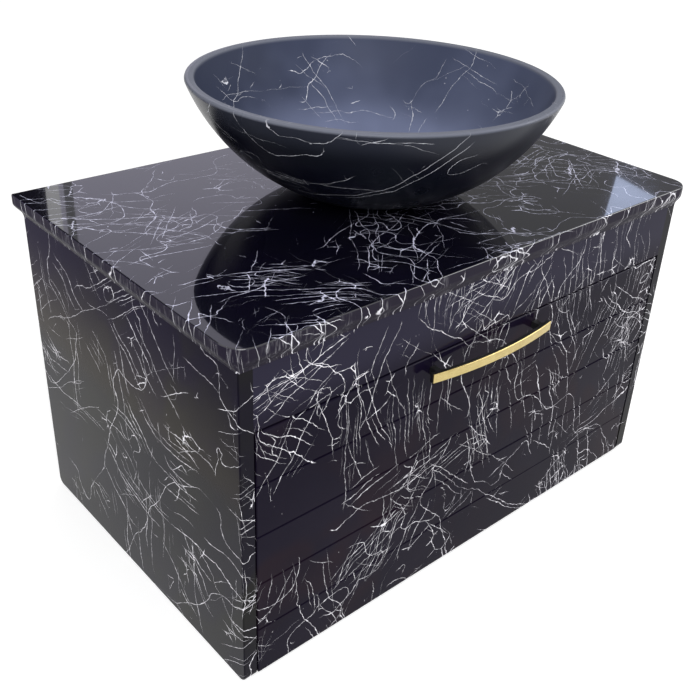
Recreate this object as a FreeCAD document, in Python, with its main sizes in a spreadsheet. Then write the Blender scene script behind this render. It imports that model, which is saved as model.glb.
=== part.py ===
"""Wall-hung vanity unit: a film-wrapped cabinet with one deep drawer, a coved counter and a round basin.

Millimetres, +Z up, front towards -Y. The origin is under the middle of the unit's own box, on the plane of
its lower edges.
"""
import FreeCAD, Part

import os

import Sketcher

V = FreeCAD.Vector
doc = FreeCAD.newDocument("vanity_unit")
sheet = doc.addObject("Spreadsheet::Sheet", "Sizes")
sheet_rows = []


class Size:
    """A length or count that carries its number and the sheet expression it comes from."""

    def __init__(self, value, text):
        self.value = value
        self.text = text

    def __add__(self, other):
        other = as_size(other)
        return Size(self.value + other.value, f"({self.text} + {other.text})")

    def __sub__(self, other):
        other = as_size(other)
        return Size(self.value - other.value, f"({self.text} - {other.text})")

    def __mul__(self, other):
        other = as_size(other)
        return Size(self.value * other.value, f"({self.text} * {other.text})")

    def __truediv__(self, other):
        other = as_size(other)
        return Size(self.value / other.value, f"({self.text} / {other.text})")

    def __neg__(self):
        return Size(-self.value, f"(-{self.text})")

    __rmul__ = __mul__


def as_size(number):
    return number if isinstance(number, Size) else Size(number, repr(number))


def root(number):
    return Size(number.value ** 0.5, f"sqrt({number.text})")


def size(alias, value):
    """Writes one driving dimension into the sheet and returns it."""
    sheet_rows.append(alias)
    row = len(sheet_rows)
    sheet.set(f"A{row}", alias)
    sheet.set(f"B{row}", str(value))
    sheet.setAlias(f"B{row}", alias)
    return Size(value, f"Sizes.{alias}")


zero = Size(0, "0")

# Cabinet
carcass_width = size("carcass_width", 650)
carcass_depth = size("carcass_depth", 411)
counter_height = size("counter_height", 396)
board = size("board", 15)
side_lower_corner = size("side_lower_corner", 9)
side_arris_round = size("side_arris_round", 1.5)
fascia_height = size("fascia_height", 64.5)
floor_lift = size("floor_lift", 4)
floor_setback = size("floor_setback", 22)
stretcher_width = size("stretcher_width", 80)
upper_rail_height = size("upper_rail_height", 96)
lower_rail_height = size("lower_rail_height", 80)
wall_hole_radius = size("wall_hole_radius", 4.5)
wall_hole_spacing = size("wall_hole_spacing", 500)
wall_hole_inset = size("wall_hole_inset", 40)

# Counter
counter_overhang = size("counter_overhang", 10)
slab_thickness = size("slab_thickness", 10)
slab_corner = size("slab_corner", 24)
slab_top_round = size("slab_top_round", 1.5)
cove_height = size("cove_height", 17)
cove_base_corner = size("cove_base_corner", 1.5)

# Dowels and screws
dowel_radius = size("dowel_radius", 4)
dowel_length = size("dowel_length", 28)
dowel_in_side = size("dowel_in_side", 10)
dowel_inset = size("dowel_inset", 22)
bore_clearance = size("bore_clearance", 0.1)
bore_end_clearance = size("bore_end_clearance", 0.5)
shank_radius = size("shank_radius", 1.75)
head_radius = size("head_radius", 3.6)
head_height = size("head_height", 2)
flat_head_height = size("flat_head_height", 1.8)
carcass_screw_length = size("carcass_screw_length", 28)
front_screw_length = size("front_screw_length", 25)
box_screw_length = size("box_screw_length", 30)
runner_screw_length = size("runner_screw_length", 10)
overrun = size("overrun", 1)

# Basin and waste
basin_radius = size("basin_radius", 206)
basin_height = size("basin_height", 128)
basin_wall = size("basin_wall", 10)
basin_foot_radius = size("basin_foot_radius", 63)
basin_bulge = size("basin_bulge", 23)
basin_floor = size("basin_floor", 15)
basin_fall = size("basin_fall", 2)
basin_rim_round = size("basin_rim_round", 2.5)
basin_setback = size("basin_setback", 4)
seal_thickness = size("seal_thickness", 1)
seal_inset = size("seal_inset", 8)
seal_width = size("seal_width", 12)
drain_radius = size("drain_radius", 22.5)
drain_recess_radius = size("drain_recess_radius", 34)
drain_recess_depth = size("drain_recess_depth", 3)
waste_flange_radius = size("waste_flange_radius", 32)
waste_flange_thickness = size("waste_flange_thickness", 2.5)
waste_bore_radius = size("waste_bore_radius", 14)
waste_tube_radius = size("waste_tube_radius", 20)
waste_tube_below_nut = size("waste_tube_below_nut", 12)
tail_radius = size("tail_radius", 16)
tail_length = size("tail_length", 40)
washer_thickness = size("washer_thickness", 3)
washer_margin = size("washer_margin", 11)
backnut_height = size("backnut_height", 9)
backnut_margin = size("backnut_margin", 8)
thread_clearance = size("thread_clearance", 0.2)
plug_radius = size("plug_radius", 30)
plug_dome = size("plug_dome", 3)
plug_edge = size("plug_edge", 2)
plug_lift = size("plug_lift", 9)
plug_seat_clearance = size("plug_seat_clearance", 0.3)
plug_stem_radius = size("plug_stem_radius", 4)
plug_guide_clearance = size("plug_guide_clearance", 0.3)
bridge_drop = size("bridge_drop", 22)
bridge_height = size("bridge_height", 8)
bridge_width = size("bridge_width", 12)

# Drawer
front_thickness = size("front_thickness", 18)
front_gap = size("front_gap", 2.5)
front_top_gap = size("front_top_gap", 3)
front_arris = size("front_arris", 0.8)
plank_count = size("plank_count", 5)
groove_width = size("groove_width", 2.6)
groove_depth = size("groove_depth", 2.4)
box_board = size("box_board", 12)
box_height = size("box_height", 180)
box_rear_room = size("box_rear_room", 28)
box_lift = size("box_lift", 14)
box_base = size("box_base", 6)
base_lift = size("base_lift", 10)
base_rebate = size("base_rebate", 5)
base_clearance = size("base_clearance", 0.1)
pipe_bay_width = size("pipe_bay_width", 160)
pipe_bay_front = size("pipe_bay_front", 62)
bumper_radius = size("bumper_radius", 5)
bumper_inset = size("bumper_inset", 60)
bumper_clearance = size("bumper_clearance", 0.3)

# Runners
runner_height = size("runner_height", 45)
runner_thickness = size("runner_thickness", 12.7)
runner_gauge = size("runner_gauge", 1.2)
runner_lip = size("runner_lip", 1.2)
runner_step = size("runner_step", 2.6)
ball_radius = size("ball_radius", 1.65)
ball_clearance = size("ball_clearance", 0.2)
ball_count = size("ball_count", 3)
cage_gauge = size("cage_gauge", 0.6)
cage_clearance = size("cage_clearance", 0.15)
cage_length = size("cage_length", 120)

# Handle
handle_length = size("handle_length", 184)
handle_height = size("handle_height", 10.5)
handle_reach = size("handle_reach", 23)
handle_end_reach = size("handle_end_reach", 14.5)
handle_body_thickness = size("handle_body_thickness", 3.6)
handle_face_thickness = size("handle_face_thickness", 1.4)
handle_post_inset = size("handle_post_inset", 12)
handle_post_width = size("handle_post_width", 7)
handle_post_height = size("handle_post_height", 8)
handle_offset = size("handle_offset", 10)
handle_drop = size("handle_drop", 16)
handle_arris = size("handle_arris", 0.4)
handle_screw_depth = size("handle_screw_depth", 6)

# Places worked out from the sizes. The unit's box runs from the handle's face to the wall.
front_y = (handle_reach - carcass_depth) / 2
back_y = (handle_reach + carcass_depth) / 2
side_x = carcass_width / 2
inner_x = side_x - board
slab_bottom = counter_height - slab_thickness
carcass_top = slab_bottom - cove_height
fascia_bottom = carcass_top - fascia_height
front_top = fascia_bottom - front_top_gap
front_height = front_top - floor_lift
front_half_width = inner_x - front_gap
floor_top = floor_lift + board
floor_y = front_y + floor_setback
rail_y = back_y - board
stretcher_z = carcass_top - board
box_bottom = floor_top + box_lift
box_y = front_y + front_thickness
box_back_y = rail_y - box_rear_room
box_depth = box_back_y - box_y
runner_length = box_depth
box_half = inner_x - runner_thickness
box_inner = box_half - box_board
box_front_inner_y = box_y + box_board
basin_y = (front_y - counter_overhang + back_y) / 2 + basin_setback
bay_half = pipe_bay_width / 2
bay_y = basin_y - pipe_bay_front
basin_bottom = counter_height + seal_thickness
handle_z = front_top - handle_drop
handle_pitch = handle_length - handle_post_inset * 2
runner_z = box_bottom + box_height / 2

ALONG_X = (1, 0, 0)
AGAINST_X = (-1, 0, 0)
ALONG_Y = (0, 1, 0)
AGAINST_Y = (0, -1, 0)
ALONG_Z = (0, 0, 1)
SIDES = {"left": -1, "right": 1}

pieces = {}
drillings = {}


def piece(label, shape):
    """Keeps one sub-part's shape under its name until its holes are drilled."""
    shape.Label = label + " blank"
    pieces[label] = shape
    drillings[label] = []


def bind(obj, prop, value):
    obj.setExpression(prop, value.text)


def place(obj, x, y, z, axis=ALONG_Z):
    """Binds an object's position to the sheet and points its own Z along an axis."""
    obj.Placement.Rotation = FreeCAD.Rotation(V(*ALONG_Z), V(*axis))
    bind(obj, "Placement.Base.x", x)
    bind(obj, "Placement.Base.y", y)
    bind(obj, "Placement.Base.z", z)
    return obj


def block(name, x, y, z, length, width, height):
    """A board with its low corner at x, y, z."""
    made = doc.addObject("Part::Box", name)
    bind(made, "Length", length)
    bind(made, "Width", width)
    bind(made, "Height", height)
    return place(made, x, y, z)


def rod(name, radius, length, x, y, z, axis=ALONG_Z):
    """A cylinder that starts at x, y, z and runs along an axis."""
    made = doc.addObject("Part::Cylinder", name)
    bind(made, "Radius", radius)
    bind(made, "Height", length)
    return place(made, x, y, z, axis)


def cut(name, base, tools):
    """The base less every tool."""
    made = doc.addObject("Part::Cut", name)
    made.Base = base
    made.Tool = tools[0] if len(tools) == 1 else doc.addObject("Part::MultiFuse", name + "_tools")
    if len(tools) > 1:
        made.Tool.Shapes = tools
    return made


def group(name, shapes):
    """Separate solids kept together in one node."""
    made = doc.addObject("Part::Compound", name)
    made.Links = shapes
    return made


def new_sketch(body, name, plane, height=zero):
    """A sketch on one of the body's origin planes, lifted along its normal."""
    sketch = body.newObject("Sketcher::SketchObject", name)
    support = [feature for feature in body.Origin.OriginFeatures if feature.Role == plane][0]
    sketch.AttachmentSupport = [(support, "")]
    sketch.MapMode = "FlatFace"
    bind(sketch, "AttachmentOffset.Base.z", height)
    return sketch


def tie(sketch, kind, geometry, value):
    """Adds one driving constraint and binds it to the sheet."""
    index = sketch.addConstraint(Sketcher.Constraint(kind, *geometry, value.value))
    sketch.renameConstraint(index, f"size_{index}")
    bind(sketch, f"Constraints.size_{index}", value)


def pin_point(sketch, geometry, end, x, y):
    """Holds a point of the sketch at sheet-bound coordinates."""
    for kind, value, axis in (("DistanceX", x, -2), ("DistanceY", y, -1)):
        if value is zero:
            sketch.addConstraint(Sketcher.Constraint("PointOnObject", geometry, end, axis))
        else:
            tie(sketch, kind, (-1, 1, geometry, end), value)


def end_at(sketch, geometry, point):
    """Which end of an edge lies at a point."""
    first = sketch.getPoint(geometry, 1).distanceToPoint(point)
    second = sketch.getPoint(geometry, 2).distanceToPoint(point)
    return 1 if first < second else 2


def arc_middle(start, end, radius, side):
    """The middle of the arc between two points that bulges to its left (1) or its right (-1)."""
    chord = end - start
    across = V(-chord.y, chord.x, 0).normalize()
    sagitta = radius - (radius ** 2 - (chord.Length / 2) ** 2) ** 0.5
    return (start + end) * 0.5 + across * (sagitta * side)


def trace(sketch, corners, arcs=None):
    """Closes an outline through sheet-bound corners. An edge listed in arcs bends to its radius and side."""
    arcs = arcs or {}
    first = sketch.GeometryCount
    count = len(corners)
    points = [V(x.value, y.value, 0) for x, y in corners]
    for i, start in enumerate(points):
        end = points[(i + 1) % count]
        if i in arcs:
            radius, side = arcs[i]
            sketch.addGeometry(Part.Arc(start, arc_middle(start, end, radius.value, side), end), False)
        else:
            sketch.addGeometry(Part.LineSegment(start, end), False)
    for i in range(count):
        edge = first + i
        following = first + (i + 1) % count
        point = points[(i + 1) % count]
        link = (edge, end_at(sketch, edge, point), following, end_at(sketch, following, point))
        sketch.addConstraint(Sketcher.Constraint("Coincident", *link))
    for i, (x, y) in enumerate(corners):
        pin_point(sketch, first + i, end_at(sketch, first + i, points[i]), x, y)
    for i, (radius, _) in arcs.items():
        tie(sketch, "Radius", (first + i,), radius)


def trace_circle(sketch, x, y, radius):
    index = sketch.addGeometry(Part.Circle(V(x.value, y.value, 0), V(0, 0, 1), radius.value), False)
    tie(sketch, "Radius", (index,), radius)
    pin_point(sketch, index, 3, x, y)


def rectangle_corners(x, y, width, height):
    return [(x, y), (x + width, y), (x + width, y + height), (x, y + height)]


def pad(body, sketch, length, reverse=False):
    made = body.newObject("PartDesign::Pad", sketch.Name + "_pad")
    made.Profile = sketch
    bind(made, "Length", length)
    made.Reversed = reverse
    body.Tip = made
    return made


def pocket(body, sketch, depth, reverse=False):
    made = body.newObject("PartDesign::Pocket", sketch.Name + "_pocket")
    made.Profile = sketch
    bind(made, "Length", depth)
    made.Reversed = reverse
    body.Tip = made
    return made


def revolve(body, sketch):
    """Turns a profile drawn on the XZ plane about the body's own Z axis."""
    made = body.newObject("PartDesign::Revolution", sketch.Name + "_turn")
    made.Profile = sketch
    made.ReferenceAxis = (sketch, ["V_Axis"])
    made.Angle = 360
    body.Tip = made
    return made


def dress(body, kind, base, amount, chosen):
    """Rounds or chamfers the edges of the base that the test chooses."""
    doc.recompute()
    names = [f"Edge{i + 1}" for i, edge in enumerate(base.Shape.Edges) if chosen(edge)]
    made = body.newObject("PartDesign::" + kind, f"{base.Name}_{kind.lower()}")
    made.Base = (base, names)
    bind(made, "Radius" if kind == "Fillet" else "Size", amount)
    body.Tip = made
    return made


def near(a, b):
    return abs(a - b) < 1e-4


def turned(label, corners, x, y, z, axis=ALONG_Z, arcs=None):
    """A body turned from half of its section, with its axis through x, y, z."""
    body = doc.addObject("PartDesign::Body", label + "_body")
    profile = new_sketch(body, label + "_profile", "XZ_Plane")
    trace(profile, corners, arcs)
    revolve(body, profile)
    return place(body, x, y, z, axis)


def ring(label, outer, inner, height, z):
    """A plain washer about the waste's axis."""
    piece(label, turned(label, rectangle_corners(inner, zero, outer - inner, height), zero, basin_y, z))


def stepped_back(at, axis, distance):
    """A point moved back along an axis by a distance."""
    return [value - distance * part if part else value for value, part in zip(at, axis)]


def drill(labels, name, at, axis, depth, radius):
    """Takes one straight hole out of the named pieces, from a point along an axis."""
    tool = rod(name, radius, depth + overrun, *stepped_back(at, axis, overrun), axis)
    for label in labels:
        drillings[label].append(tool)


def drive(labels, name, at, axis, length, sink=zero):
    """A screw driven at a point along an axis, and its hole through the named pieces. A pan head stands off
    the surface; a flat one is sunk into the first piece."""
    flat = sink is not zero
    pan_head = [(zero, -head_height), (head_radius, -head_height), (head_radius, zero)]
    head = [(zero, zero), (head_radius, zero)] if flat else pan_head
    tip = length - shank_radius * 2
    shank = [(shank_radius, sink), (shank_radius, tip), (zero, length)]
    made = turned(name, head + shank, *at, axis)
    drill(labels, name + "_hole", at, axis, length + bore_end_clearance, shank_radius + bore_clearance)
    if flat:
        cone = doc.addObject("Part::Cone", name + "_sink")
        bind(cone, "Radius1", head_radius + bore_clearance)
        bind(cone, "Radius2", shank_radius + bore_clearance)
        bind(cone, "Height", sink)
        place(cone, *at, axis)
        drillings[labels[0]].append(cone)
    return made


# Carcass: two sides, a floor, a fascia and four rails, dowelled together end to side.
def side_panel(side, sign):
    """A side with its lower corners rounded, and its outer arris, where the film wraps round."""
    label = "side_panel_" + side
    outer = zero if sign < 0 else board
    body = doc.addObject("PartDesign::Body", label + "_body")
    outline = new_sketch(body, label + "_outline", "YZ_Plane")
    trace(outline, rectangle_corners(zero, zero, carcass_depth, carcass_top))
    plate = pad(body, outline, board)

    def lower_corner(edge):
        return near(edge.BoundBox.XLength, board.value) and near(edge.CenterOfMass.z, 0)

    def outer_arris(edge):
        on_face = near(edge.BoundBox.XLength, 0) and near(edge.CenterOfMass.x, outer.value)
        front = near(edge.BoundBox.YLength, 0) and near(edge.CenterOfMass.y, 0)
        return on_face and (front or edge.CenterOfMass.z < side_lower_corner.value)

    plate = dress(body, "Fillet", plate, side_lower_corner, lower_corner)
    dress(body, "Fillet", plate, side_arris_round, outer_arris)
    place(body, -side_x if sign < 0 else inner_x, front_y, zero)
    piece(label, body)


for side_name, side_sign in SIDES.items():
    side_panel(side_name, side_sign)


def cross_board(label, y, z, depth, height):
    """A board that runs between the two sides."""
    piece(label, block(label + "_board", -inner_x, y, z, inner_x * 2, depth, height))


cross_board("floor_panel", floor_y, floor_lift, back_y - floor_y, board)
cross_board("fascia_rail", front_y, fascia_bottom, board, fascia_height)
cross_board("front_stretcher", front_y + board, stretcher_z, stretcher_width, board)
cross_board("rear_stretcher", rail_y - stretcher_width, stretcher_z, stretcher_width, board)
cross_board("back_rail_upper", rail_y, carcass_top - upper_rail_height, board, upper_rail_height)
cross_board("back_rail_lower", rail_y, floor_top, board, lower_rail_height)

mid_board = board / 2
mid_floor = floor_lift + mid_board
mid_fascia = front_y + mid_board
mid_rail = rail_y + mid_board
mid_front_stretcher = front_y + board + stretcher_width / 2
mid_rear_stretcher = rail_y - stretcher_width / 2
high_dowel = carcass_top - dowel_inset
dowel_places = {
    "floor_panel": [(floor_y + dowel_inset, mid_floor), (back_y - dowel_inset, mid_floor)],
    "fascia_rail": [(mid_fascia, fascia_bottom + dowel_inset), (mid_fascia, high_dowel)],
    "front_stretcher": [(mid_front_stretcher, carcass_top - mid_board)],
    "rear_stretcher": [(mid_rear_stretcher, carcass_top - mid_board)],
    "back_rail_upper": [(mid_rail, high_dowel), (mid_rail, carcass_top - upper_rail_height + dowel_inset)],
    "back_rail_lower": [(mid_rail, floor_top + lower_rail_height / 2)],
}


def carcass_dowels():
    """One dowel at each place and end, its shorter part in the side panel."""
    made = []
    for label, places in dowel_places.items():
        for i, (y, z) in enumerate(places):
            for side, sign in SIDES.items():
                name = f"dowel_{label}_{i}_{side}"
                start = inner_x * sign + dowel_in_side * sign
                inward = (-sign, 0, 0)
                made.append(rod(name, dowel_radius, dowel_length, start, y, z, inward))
                far = [start + bore_end_clearance * sign, y, z]
                hole = dowel_length + bore_end_clearance * 2
                tool = rod(name + "_hole", dowel_radius + bore_clearance, hole, *far, inward)
                drillings[label].append(tool)
                drillings["side_panel_" + side].append(tool)
    piece("carcass_dowels", group("dowel_group", made))


carcass_dowels()


def wall_holes():
    """Four clearance holes through the back rails for the wall fixings."""
    rows = {"back_rail_upper": carcass_top - wall_hole_inset, "back_rail_lower": floor_top + wall_hole_inset}
    for label, z in rows.items():
        for side, sign in SIDES.items():
            at = [wall_hole_spacing / 2 * sign, rail_y, z]
            drill([label], f"wall_hole_{label}_{side}", at, ALONG_Y, board + overrun, wall_hole_radius)
    heights = [z.value for z in rows.values()]
    print(f"wall holes: centre z {sum(heights) / 2:.3f}, spacing z {heights[0] - heights[1]:.3f}, "
          f"back y {back_y.value:.3f}")


wall_holes()


# Counter: a slab over an ogee that swells out of the carcass, moulded on three sides.
def plan_corners(offset, corner):
    """The counter's outline in plan, grown past the carcass by an offset, its front corners rounded."""
    x = side_x + offset
    y = front_y - offset
    left = [(-x, back_y), (-x, y + corner), (-x + corner, y)]
    right = [(x - corner, y), (x, y + corner), (x, back_y)]
    return left + right, {1: (corner, -1), 3: (corner, -1)}


# How far up each level of the cove lies, and how far it has swept out by then.
cove_level_shares = [(0, 0), (0.16, 0.07), (0.33, 0.255), (0.5, 0.5), (0.67, 0.745), (0.84, 0.93), (1, 1)]


def countertop():
    body = doc.addObject("PartDesign::Body", "countertop_body")
    outline = new_sketch(body, "slab_outline", "XY_Plane", slab_bottom)
    trace(outline, *plan_corners(counter_overhang, slab_corner))
    plate = pad(body, outline, slab_thickness)

    def moulded(edge):
        level = near(edge.BoundBox.ZLength, 0) and near(edge.CenterOfMass.z, counter_height.value)
        return level and edge.CenterOfMass.y < back_y.value - slab_corner.value / 2

    dress(body, "Fillet", plate, slab_top_round, moulded)
    corner_growth = slab_corner - cove_base_corner
    levels = []
    for i, (up, out) in enumerate(cove_level_shares):
        level = new_sketch(body, f"cove_level_{i}", "XY_Plane", carcass_top + cove_height * up)
        trace(level, *plan_corners(counter_overhang * out, cove_base_corner + corner_growth * out))
        levels.append(level)
    loft = body.newObject("PartDesign::AdditiveLoft", "cove_loft")
    loft.Profile = levels[0]
    loft.Sections = levels[1:]
    loft.Ruled = False
    body.Tip = loft
    piece("countertop", body)
    at = [zero, basin_y, carcass_top]
    through = slab_thickness + cove_height + overrun
    drill(["countertop"], "counter_waste_hole", at, ALONG_Z, through, drain_radius)


countertop()


def counter_screws():
    """Pan-head screws up through the stretchers into the counter."""
    made = []
    for label, y in (("front_stretcher", mid_front_stretcher), ("rear_stretcher", mid_rear_stretcher)):
        for side, sign in SIDES.items():
            at = [(inner_x - stretcher_width) * sign, y, stretcher_z]
            name = f"counter_screw_{label}_{side}"
            made.append(drive([label, "countertop"], name, at, ALONG_Z, carcass_screw_length))
    piece("counter_screws", group("counter_screw_group", made))


counter_screws()

# Basin: its section is two arcs a wall apart, closed by a flat foot, a floor that falls to the drain and a
# rounded rim.
chord_x = basin_radius - basin_foot_radius
chord_length = root(chord_x * chord_x + basin_height * basin_height)
basin_arc = (chord_length * chord_length / 4 + basin_bulge * basin_bulge) / (basin_bulge * 2)
arc_rise = basin_arc - basin_bulge
arc_x = (basin_radius + basin_foot_radius) / 2 - basin_height * arc_rise / chord_length
arc_z = basin_height / 2 + chord_x * arc_rise / chord_length
inner_arc = basin_arc - basin_wall


def inner_arc_x(z):
    """Where the basin's inner surface stands at a height."""
    return arc_x + root(inner_arc * inner_arc - (arc_z - z) * (arc_z - z))


drain_top = basin_floor - basin_fall
flange_z = basin_bottom + drain_top - drain_recess_depth + seal_thickness


def basin_bowl():
    recess = drain_top - drain_recess_depth
    corners = [
        (basin_foot_radius, zero), (basin_radius, basin_height), (inner_arc_x(basin_height), basin_height),
        (inner_arc_x(basin_floor), basin_floor), (drain_recess_radius, drain_top),
        (drain_recess_radius, recess), (drain_radius, recess), (drain_radius, zero)]
    arcs = {0: (basin_arc, -1), 2: (inner_arc, 1)}
    body = turned("basin_bowl", corners, zero, basin_y, basin_bottom, arcs=arcs)

    def rim(edge):
        return near(edge.CenterOfMass.z, basin_height.value) and near(edge.BoundBox.ZLength, 0)

    dress(body, "Fillet", body.Tip, basin_rim_round, rim)
    piece("basin_bowl", body)


basin_bowl()
seal_radius = basin_foot_radius - seal_inset
ring("basin_seal", seal_radius, seal_radius - seal_width, seal_thickness, counter_height)
ring("flange_seal", waste_flange_radius - seal_thickness, drain_radius + seal_thickness, seal_thickness,
     flange_z - seal_thickness)

washer_z = carcass_top - washer_thickness
backnut_z = washer_z - backnut_height
tube_bottom = backnut_z - waste_tube_below_nut
tail_bottom = tube_bottom - tail_length
print(f"waste tail: radius {tail_radius.value}, from z {tail_bottom.value:.3f} to {tube_bottom.value:.3f}, "
      f"axis y {basin_y.value:.3f}")


def waste_body():
    """Flange, threaded tube and tail in one turning, with a bridge across the bore that guides the plug."""
    flange_edge = flange_z + waste_flange_thickness / 2
    flange_top = flange_z + waste_flange_thickness
    turning = turned("waste_body", [
        (waste_bore_radius, tail_bottom), (tail_radius, tail_bottom), (tail_radius, tube_bottom),
        (waste_tube_radius, tube_bottom), (waste_tube_radius, flange_z), (waste_flange_radius, flange_z),
        (waste_flange_radius, flange_edge), (waste_flange_radius - waste_flange_thickness, flange_top),
        (waste_bore_radius, flange_edge)], zero, basin_y, zero)
    half_length = (waste_bore_radius + waste_tube_radius) / 2
    bridge_z = flange_z - bridge_drop
    bridge = block("waste_bridge", -half_length, basin_y - bridge_width / 2, bridge_z, half_length * 2,
                   bridge_width, bridge_height)
    joined = doc.addObject("Part::MultiFuse", "waste_joined")
    joined.Shapes = [turning, bridge]
    piece("waste_body", joined)
    at = [zero, basin_y, bridge_z]
    guide_radius = plug_stem_radius + plug_guide_clearance
    drill(["waste_body"], "plug_guide", at, ALONG_Z, bridge_height + overrun, guide_radius)


waste_body()


def waste_plug():
    """A domed cap on a stem that slides in the bridge, shown closed."""
    stem = bridge_drop + waste_flange_thickness + plug_lift
    dome_radius = (plug_radius * plug_radius + plug_dome * plug_dome) / (plug_dome * 2)
    corners = [(zero, -stem), (plug_stem_radius, -stem), (plug_stem_radius, zero), (plug_radius, zero),
               (plug_radius, plug_edge), (zero, plug_edge + plug_dome)]
    seat_z = flange_z + waste_flange_thickness + plug_seat_clearance
    piece("waste_plug", turned("waste_plug", corners, zero, basin_y, seat_z, arcs={4: (dome_radius, -1)}))


waste_plug()
nut_bore = waste_tube_radius + thread_clearance
ring("waste_washer", waste_tube_radius + washer_margin, nut_bore, washer_thickness, washer_z)

# The corners of a hexagon, as shares of the distance to its first corner.
hexagon_shares = [(1, 0), (0.5, 0.866), (-0.5, 0.866), (-1, 0), (-0.5, -0.866), (0.5, -0.866)]


def waste_backnut():
    """The hexagonal nut that draws the waste down through the basin and the counter."""
    body = doc.addObject("PartDesign::Body", "waste_backnut_body")
    plan = new_sketch(body, "backnut_plan", "XY_Plane")
    corner = waste_tube_radius + backnut_margin
    trace(plan, [(corner * x, corner * y if y else zero) for x, y in hexagon_shares])
    trace_circle(plan, zero, zero, nut_bore)
    pad(body, plan, backnut_height)
    piece("waste_backnut", place(body, zero, basin_y, backnut_z))


waste_backnut()


# Drawer: an inset front scored into planks, and a box notched at the back to pass round the pipes.
def drawer_front():
    body = doc.addObject("PartDesign::Body", "drawer_front_body")
    outline = new_sketch(body, "front_outline", "XZ_Plane")
    trace(outline, rectangle_corners(-front_half_width, zero, front_half_width * 2, front_height))
    plate = pad(body, outline, front_thickness, reverse=True)

    def on_face(edge):
        return near(edge.CenterOfMass.y, 0) and near(edge.BoundBox.YLength, 0)

    dress(body, "Chamfer", plate, front_arris, on_face)
    plank = front_height / plank_count
    groove = new_sketch(body, "front_groove", "YZ_Plane", -front_half_width - overrun)
    half = groove_width / 2
    trace(groove, [(-overrun, plank - half), (zero, plank - half), (groove_depth, plank),
                   (zero, plank + half), (-overrun, plank + half)])
    first = pocket(body, groove, (front_half_width + overrun) * 2, reverse=True)
    doc.recompute()
    grooves = body.newObject("PartDesign::LinearPattern", "front_grooves")
    grooves.Originals = [first]
    grooves.Direction = (groove, ["V_Axis"])
    bind(grooves, "Length", plank * (plank_count - 2))
    bind(grooves, "Occurrences", plank_count - 1)
    body.Tip = grooves
    piece("drawer_front", place(body, zero, front_y, floor_lift))


drawer_front()


def drawer_box():
    """Two sides, an inner front, a back in two lengths and three boards that line the pipe bay."""
    outer_bay = bay_half + box_board
    back_y_low = box_back_y - box_board
    boards = {
        "drawer_side_left": (-box_half, box_y, box_board, box_depth),
        "drawer_side_right": (box_inner, box_y, box_board, box_depth),
        "drawer_inner_front": (-box_inner, box_y, box_inner * 2, box_board),
        "drawer_back_left": (-box_inner, back_y_low, box_inner - outer_bay, box_board),
        "drawer_back_right": (outer_bay, back_y_low, box_inner - outer_bay, box_board),
        "pipe_bay_left": (-outer_bay, bay_y, box_board, box_back_y - bay_y),
        "pipe_bay_right": (bay_half, bay_y, box_board, box_back_y - bay_y),
        "pipe_bay_front": (-outer_bay, bay_y - box_board, outer_bay * 2, box_board),
    }
    rebate = base_outline("base_rebate_tool", base_rebate + base_clearance, base_clearance)
    for label, (x, y, length, width) in boards.items():
        piece(label, block(label + "_board", x, y, box_bottom, length, width, box_height))
        drillings[label].append(rebate)


def base_outline(name, grown, swell):
    """The base sheet in plan, notched round the pipe bay, grown into the boards and swollen in height."""
    body = doc.addObject("PartDesign::Body", name)
    x = box_inner + grown
    low_y = box_front_inner_y - grown
    high_y = box_back_y - box_board + grown
    notch_x = bay_half + box_board - grown
    notch_y = bay_y - box_board + grown
    plan = new_sketch(body, name + "_plan", "XY_Plane")
    trace(plan, [(-x, low_y), (x, low_y), (x, high_y), (notch_x, high_y), (notch_x, notch_y),
                 (-notch_x, notch_y), (-notch_x, high_y), (-x, high_y)])
    pad(body, plan, box_base + swell * 2)
    return place(body, zero, zero, box_bottom + base_lift - swell)


drawer_box()
piece("drawer_base", base_outline("drawer_base_body", base_rebate, zero))

front_screw_shares = [(-0.8, 0.25), (-0.8, 0.8), (0.8, 0.25), (0.8, 0.8)]


def drawer_front_screws():
    """Pan-head screws from inside the box into the front."""
    made = []
    for i, (across, up) in enumerate(front_screw_shares):
        at = [box_inner * across, box_front_inner_y, box_bottom + box_height * up]
        labels = ["drawer_inner_front", "drawer_front"]
        made.append(drive(labels, f"front_screw_{i}", at, AGAINST_Y, front_screw_length))
    piece("drawer_front_screws", group("front_screw_group", made))


drawer_front_screws()

box_screw_shares = (0.16, 0.86)


def drawer_box_screws():
    """Flat-head screws through the sides and the bay's boards into the ends of the boards they hold."""
    mid = box_board / 2
    back = box_back_y - mid
    bay_middle = bay_half + mid
    seams = []
    for side, sign in SIDES.items():
        inward = (-sign, 0, 0)
        outward = (sign, 0, 0)
        seams.append(("drawer_side_" + side, "drawer_inner_front", box_half * sign, box_y + mid, inward))
        seams.append(("drawer_side_" + side, "drawer_back_" + side, box_half * sign, back, inward))
        seams.append(("pipe_bay_" + side, "drawer_back_" + side, bay_half * sign, back, outward))
        seams.append(("pipe_bay_front", "pipe_bay_" + side, bay_middle * sign, bay_y - box_board, ALONG_Y))
    made = []
    for outer, held, x, y, axis in seams:
        for share in box_screw_shares:
            at = [x, y, box_bottom + box_height * share]
            name = f"box_screw_{len(made)}"
            made.append(drive([outer, held], name, at, axis, box_screw_length, flat_head_height))
    piece("drawer_box_screws", group("box_screw_group", made))


drawer_box_screws()


def bumper_pads():
    """Soft pads on the floor panel's front edge, where the closed front comes to rest."""
    made = []
    length = floor_setback - front_thickness - bumper_clearance
    for side, sign in SIDES.items():
        x = (inner_x - bumper_inset) * sign
        made.append(rod(f"bumper_{side}", bumper_radius, length, x, floor_y - length, mid_floor, ALONG_Y))
    piece("bumper_pads", group("bumper_group", made))


bumper_pads()

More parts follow.
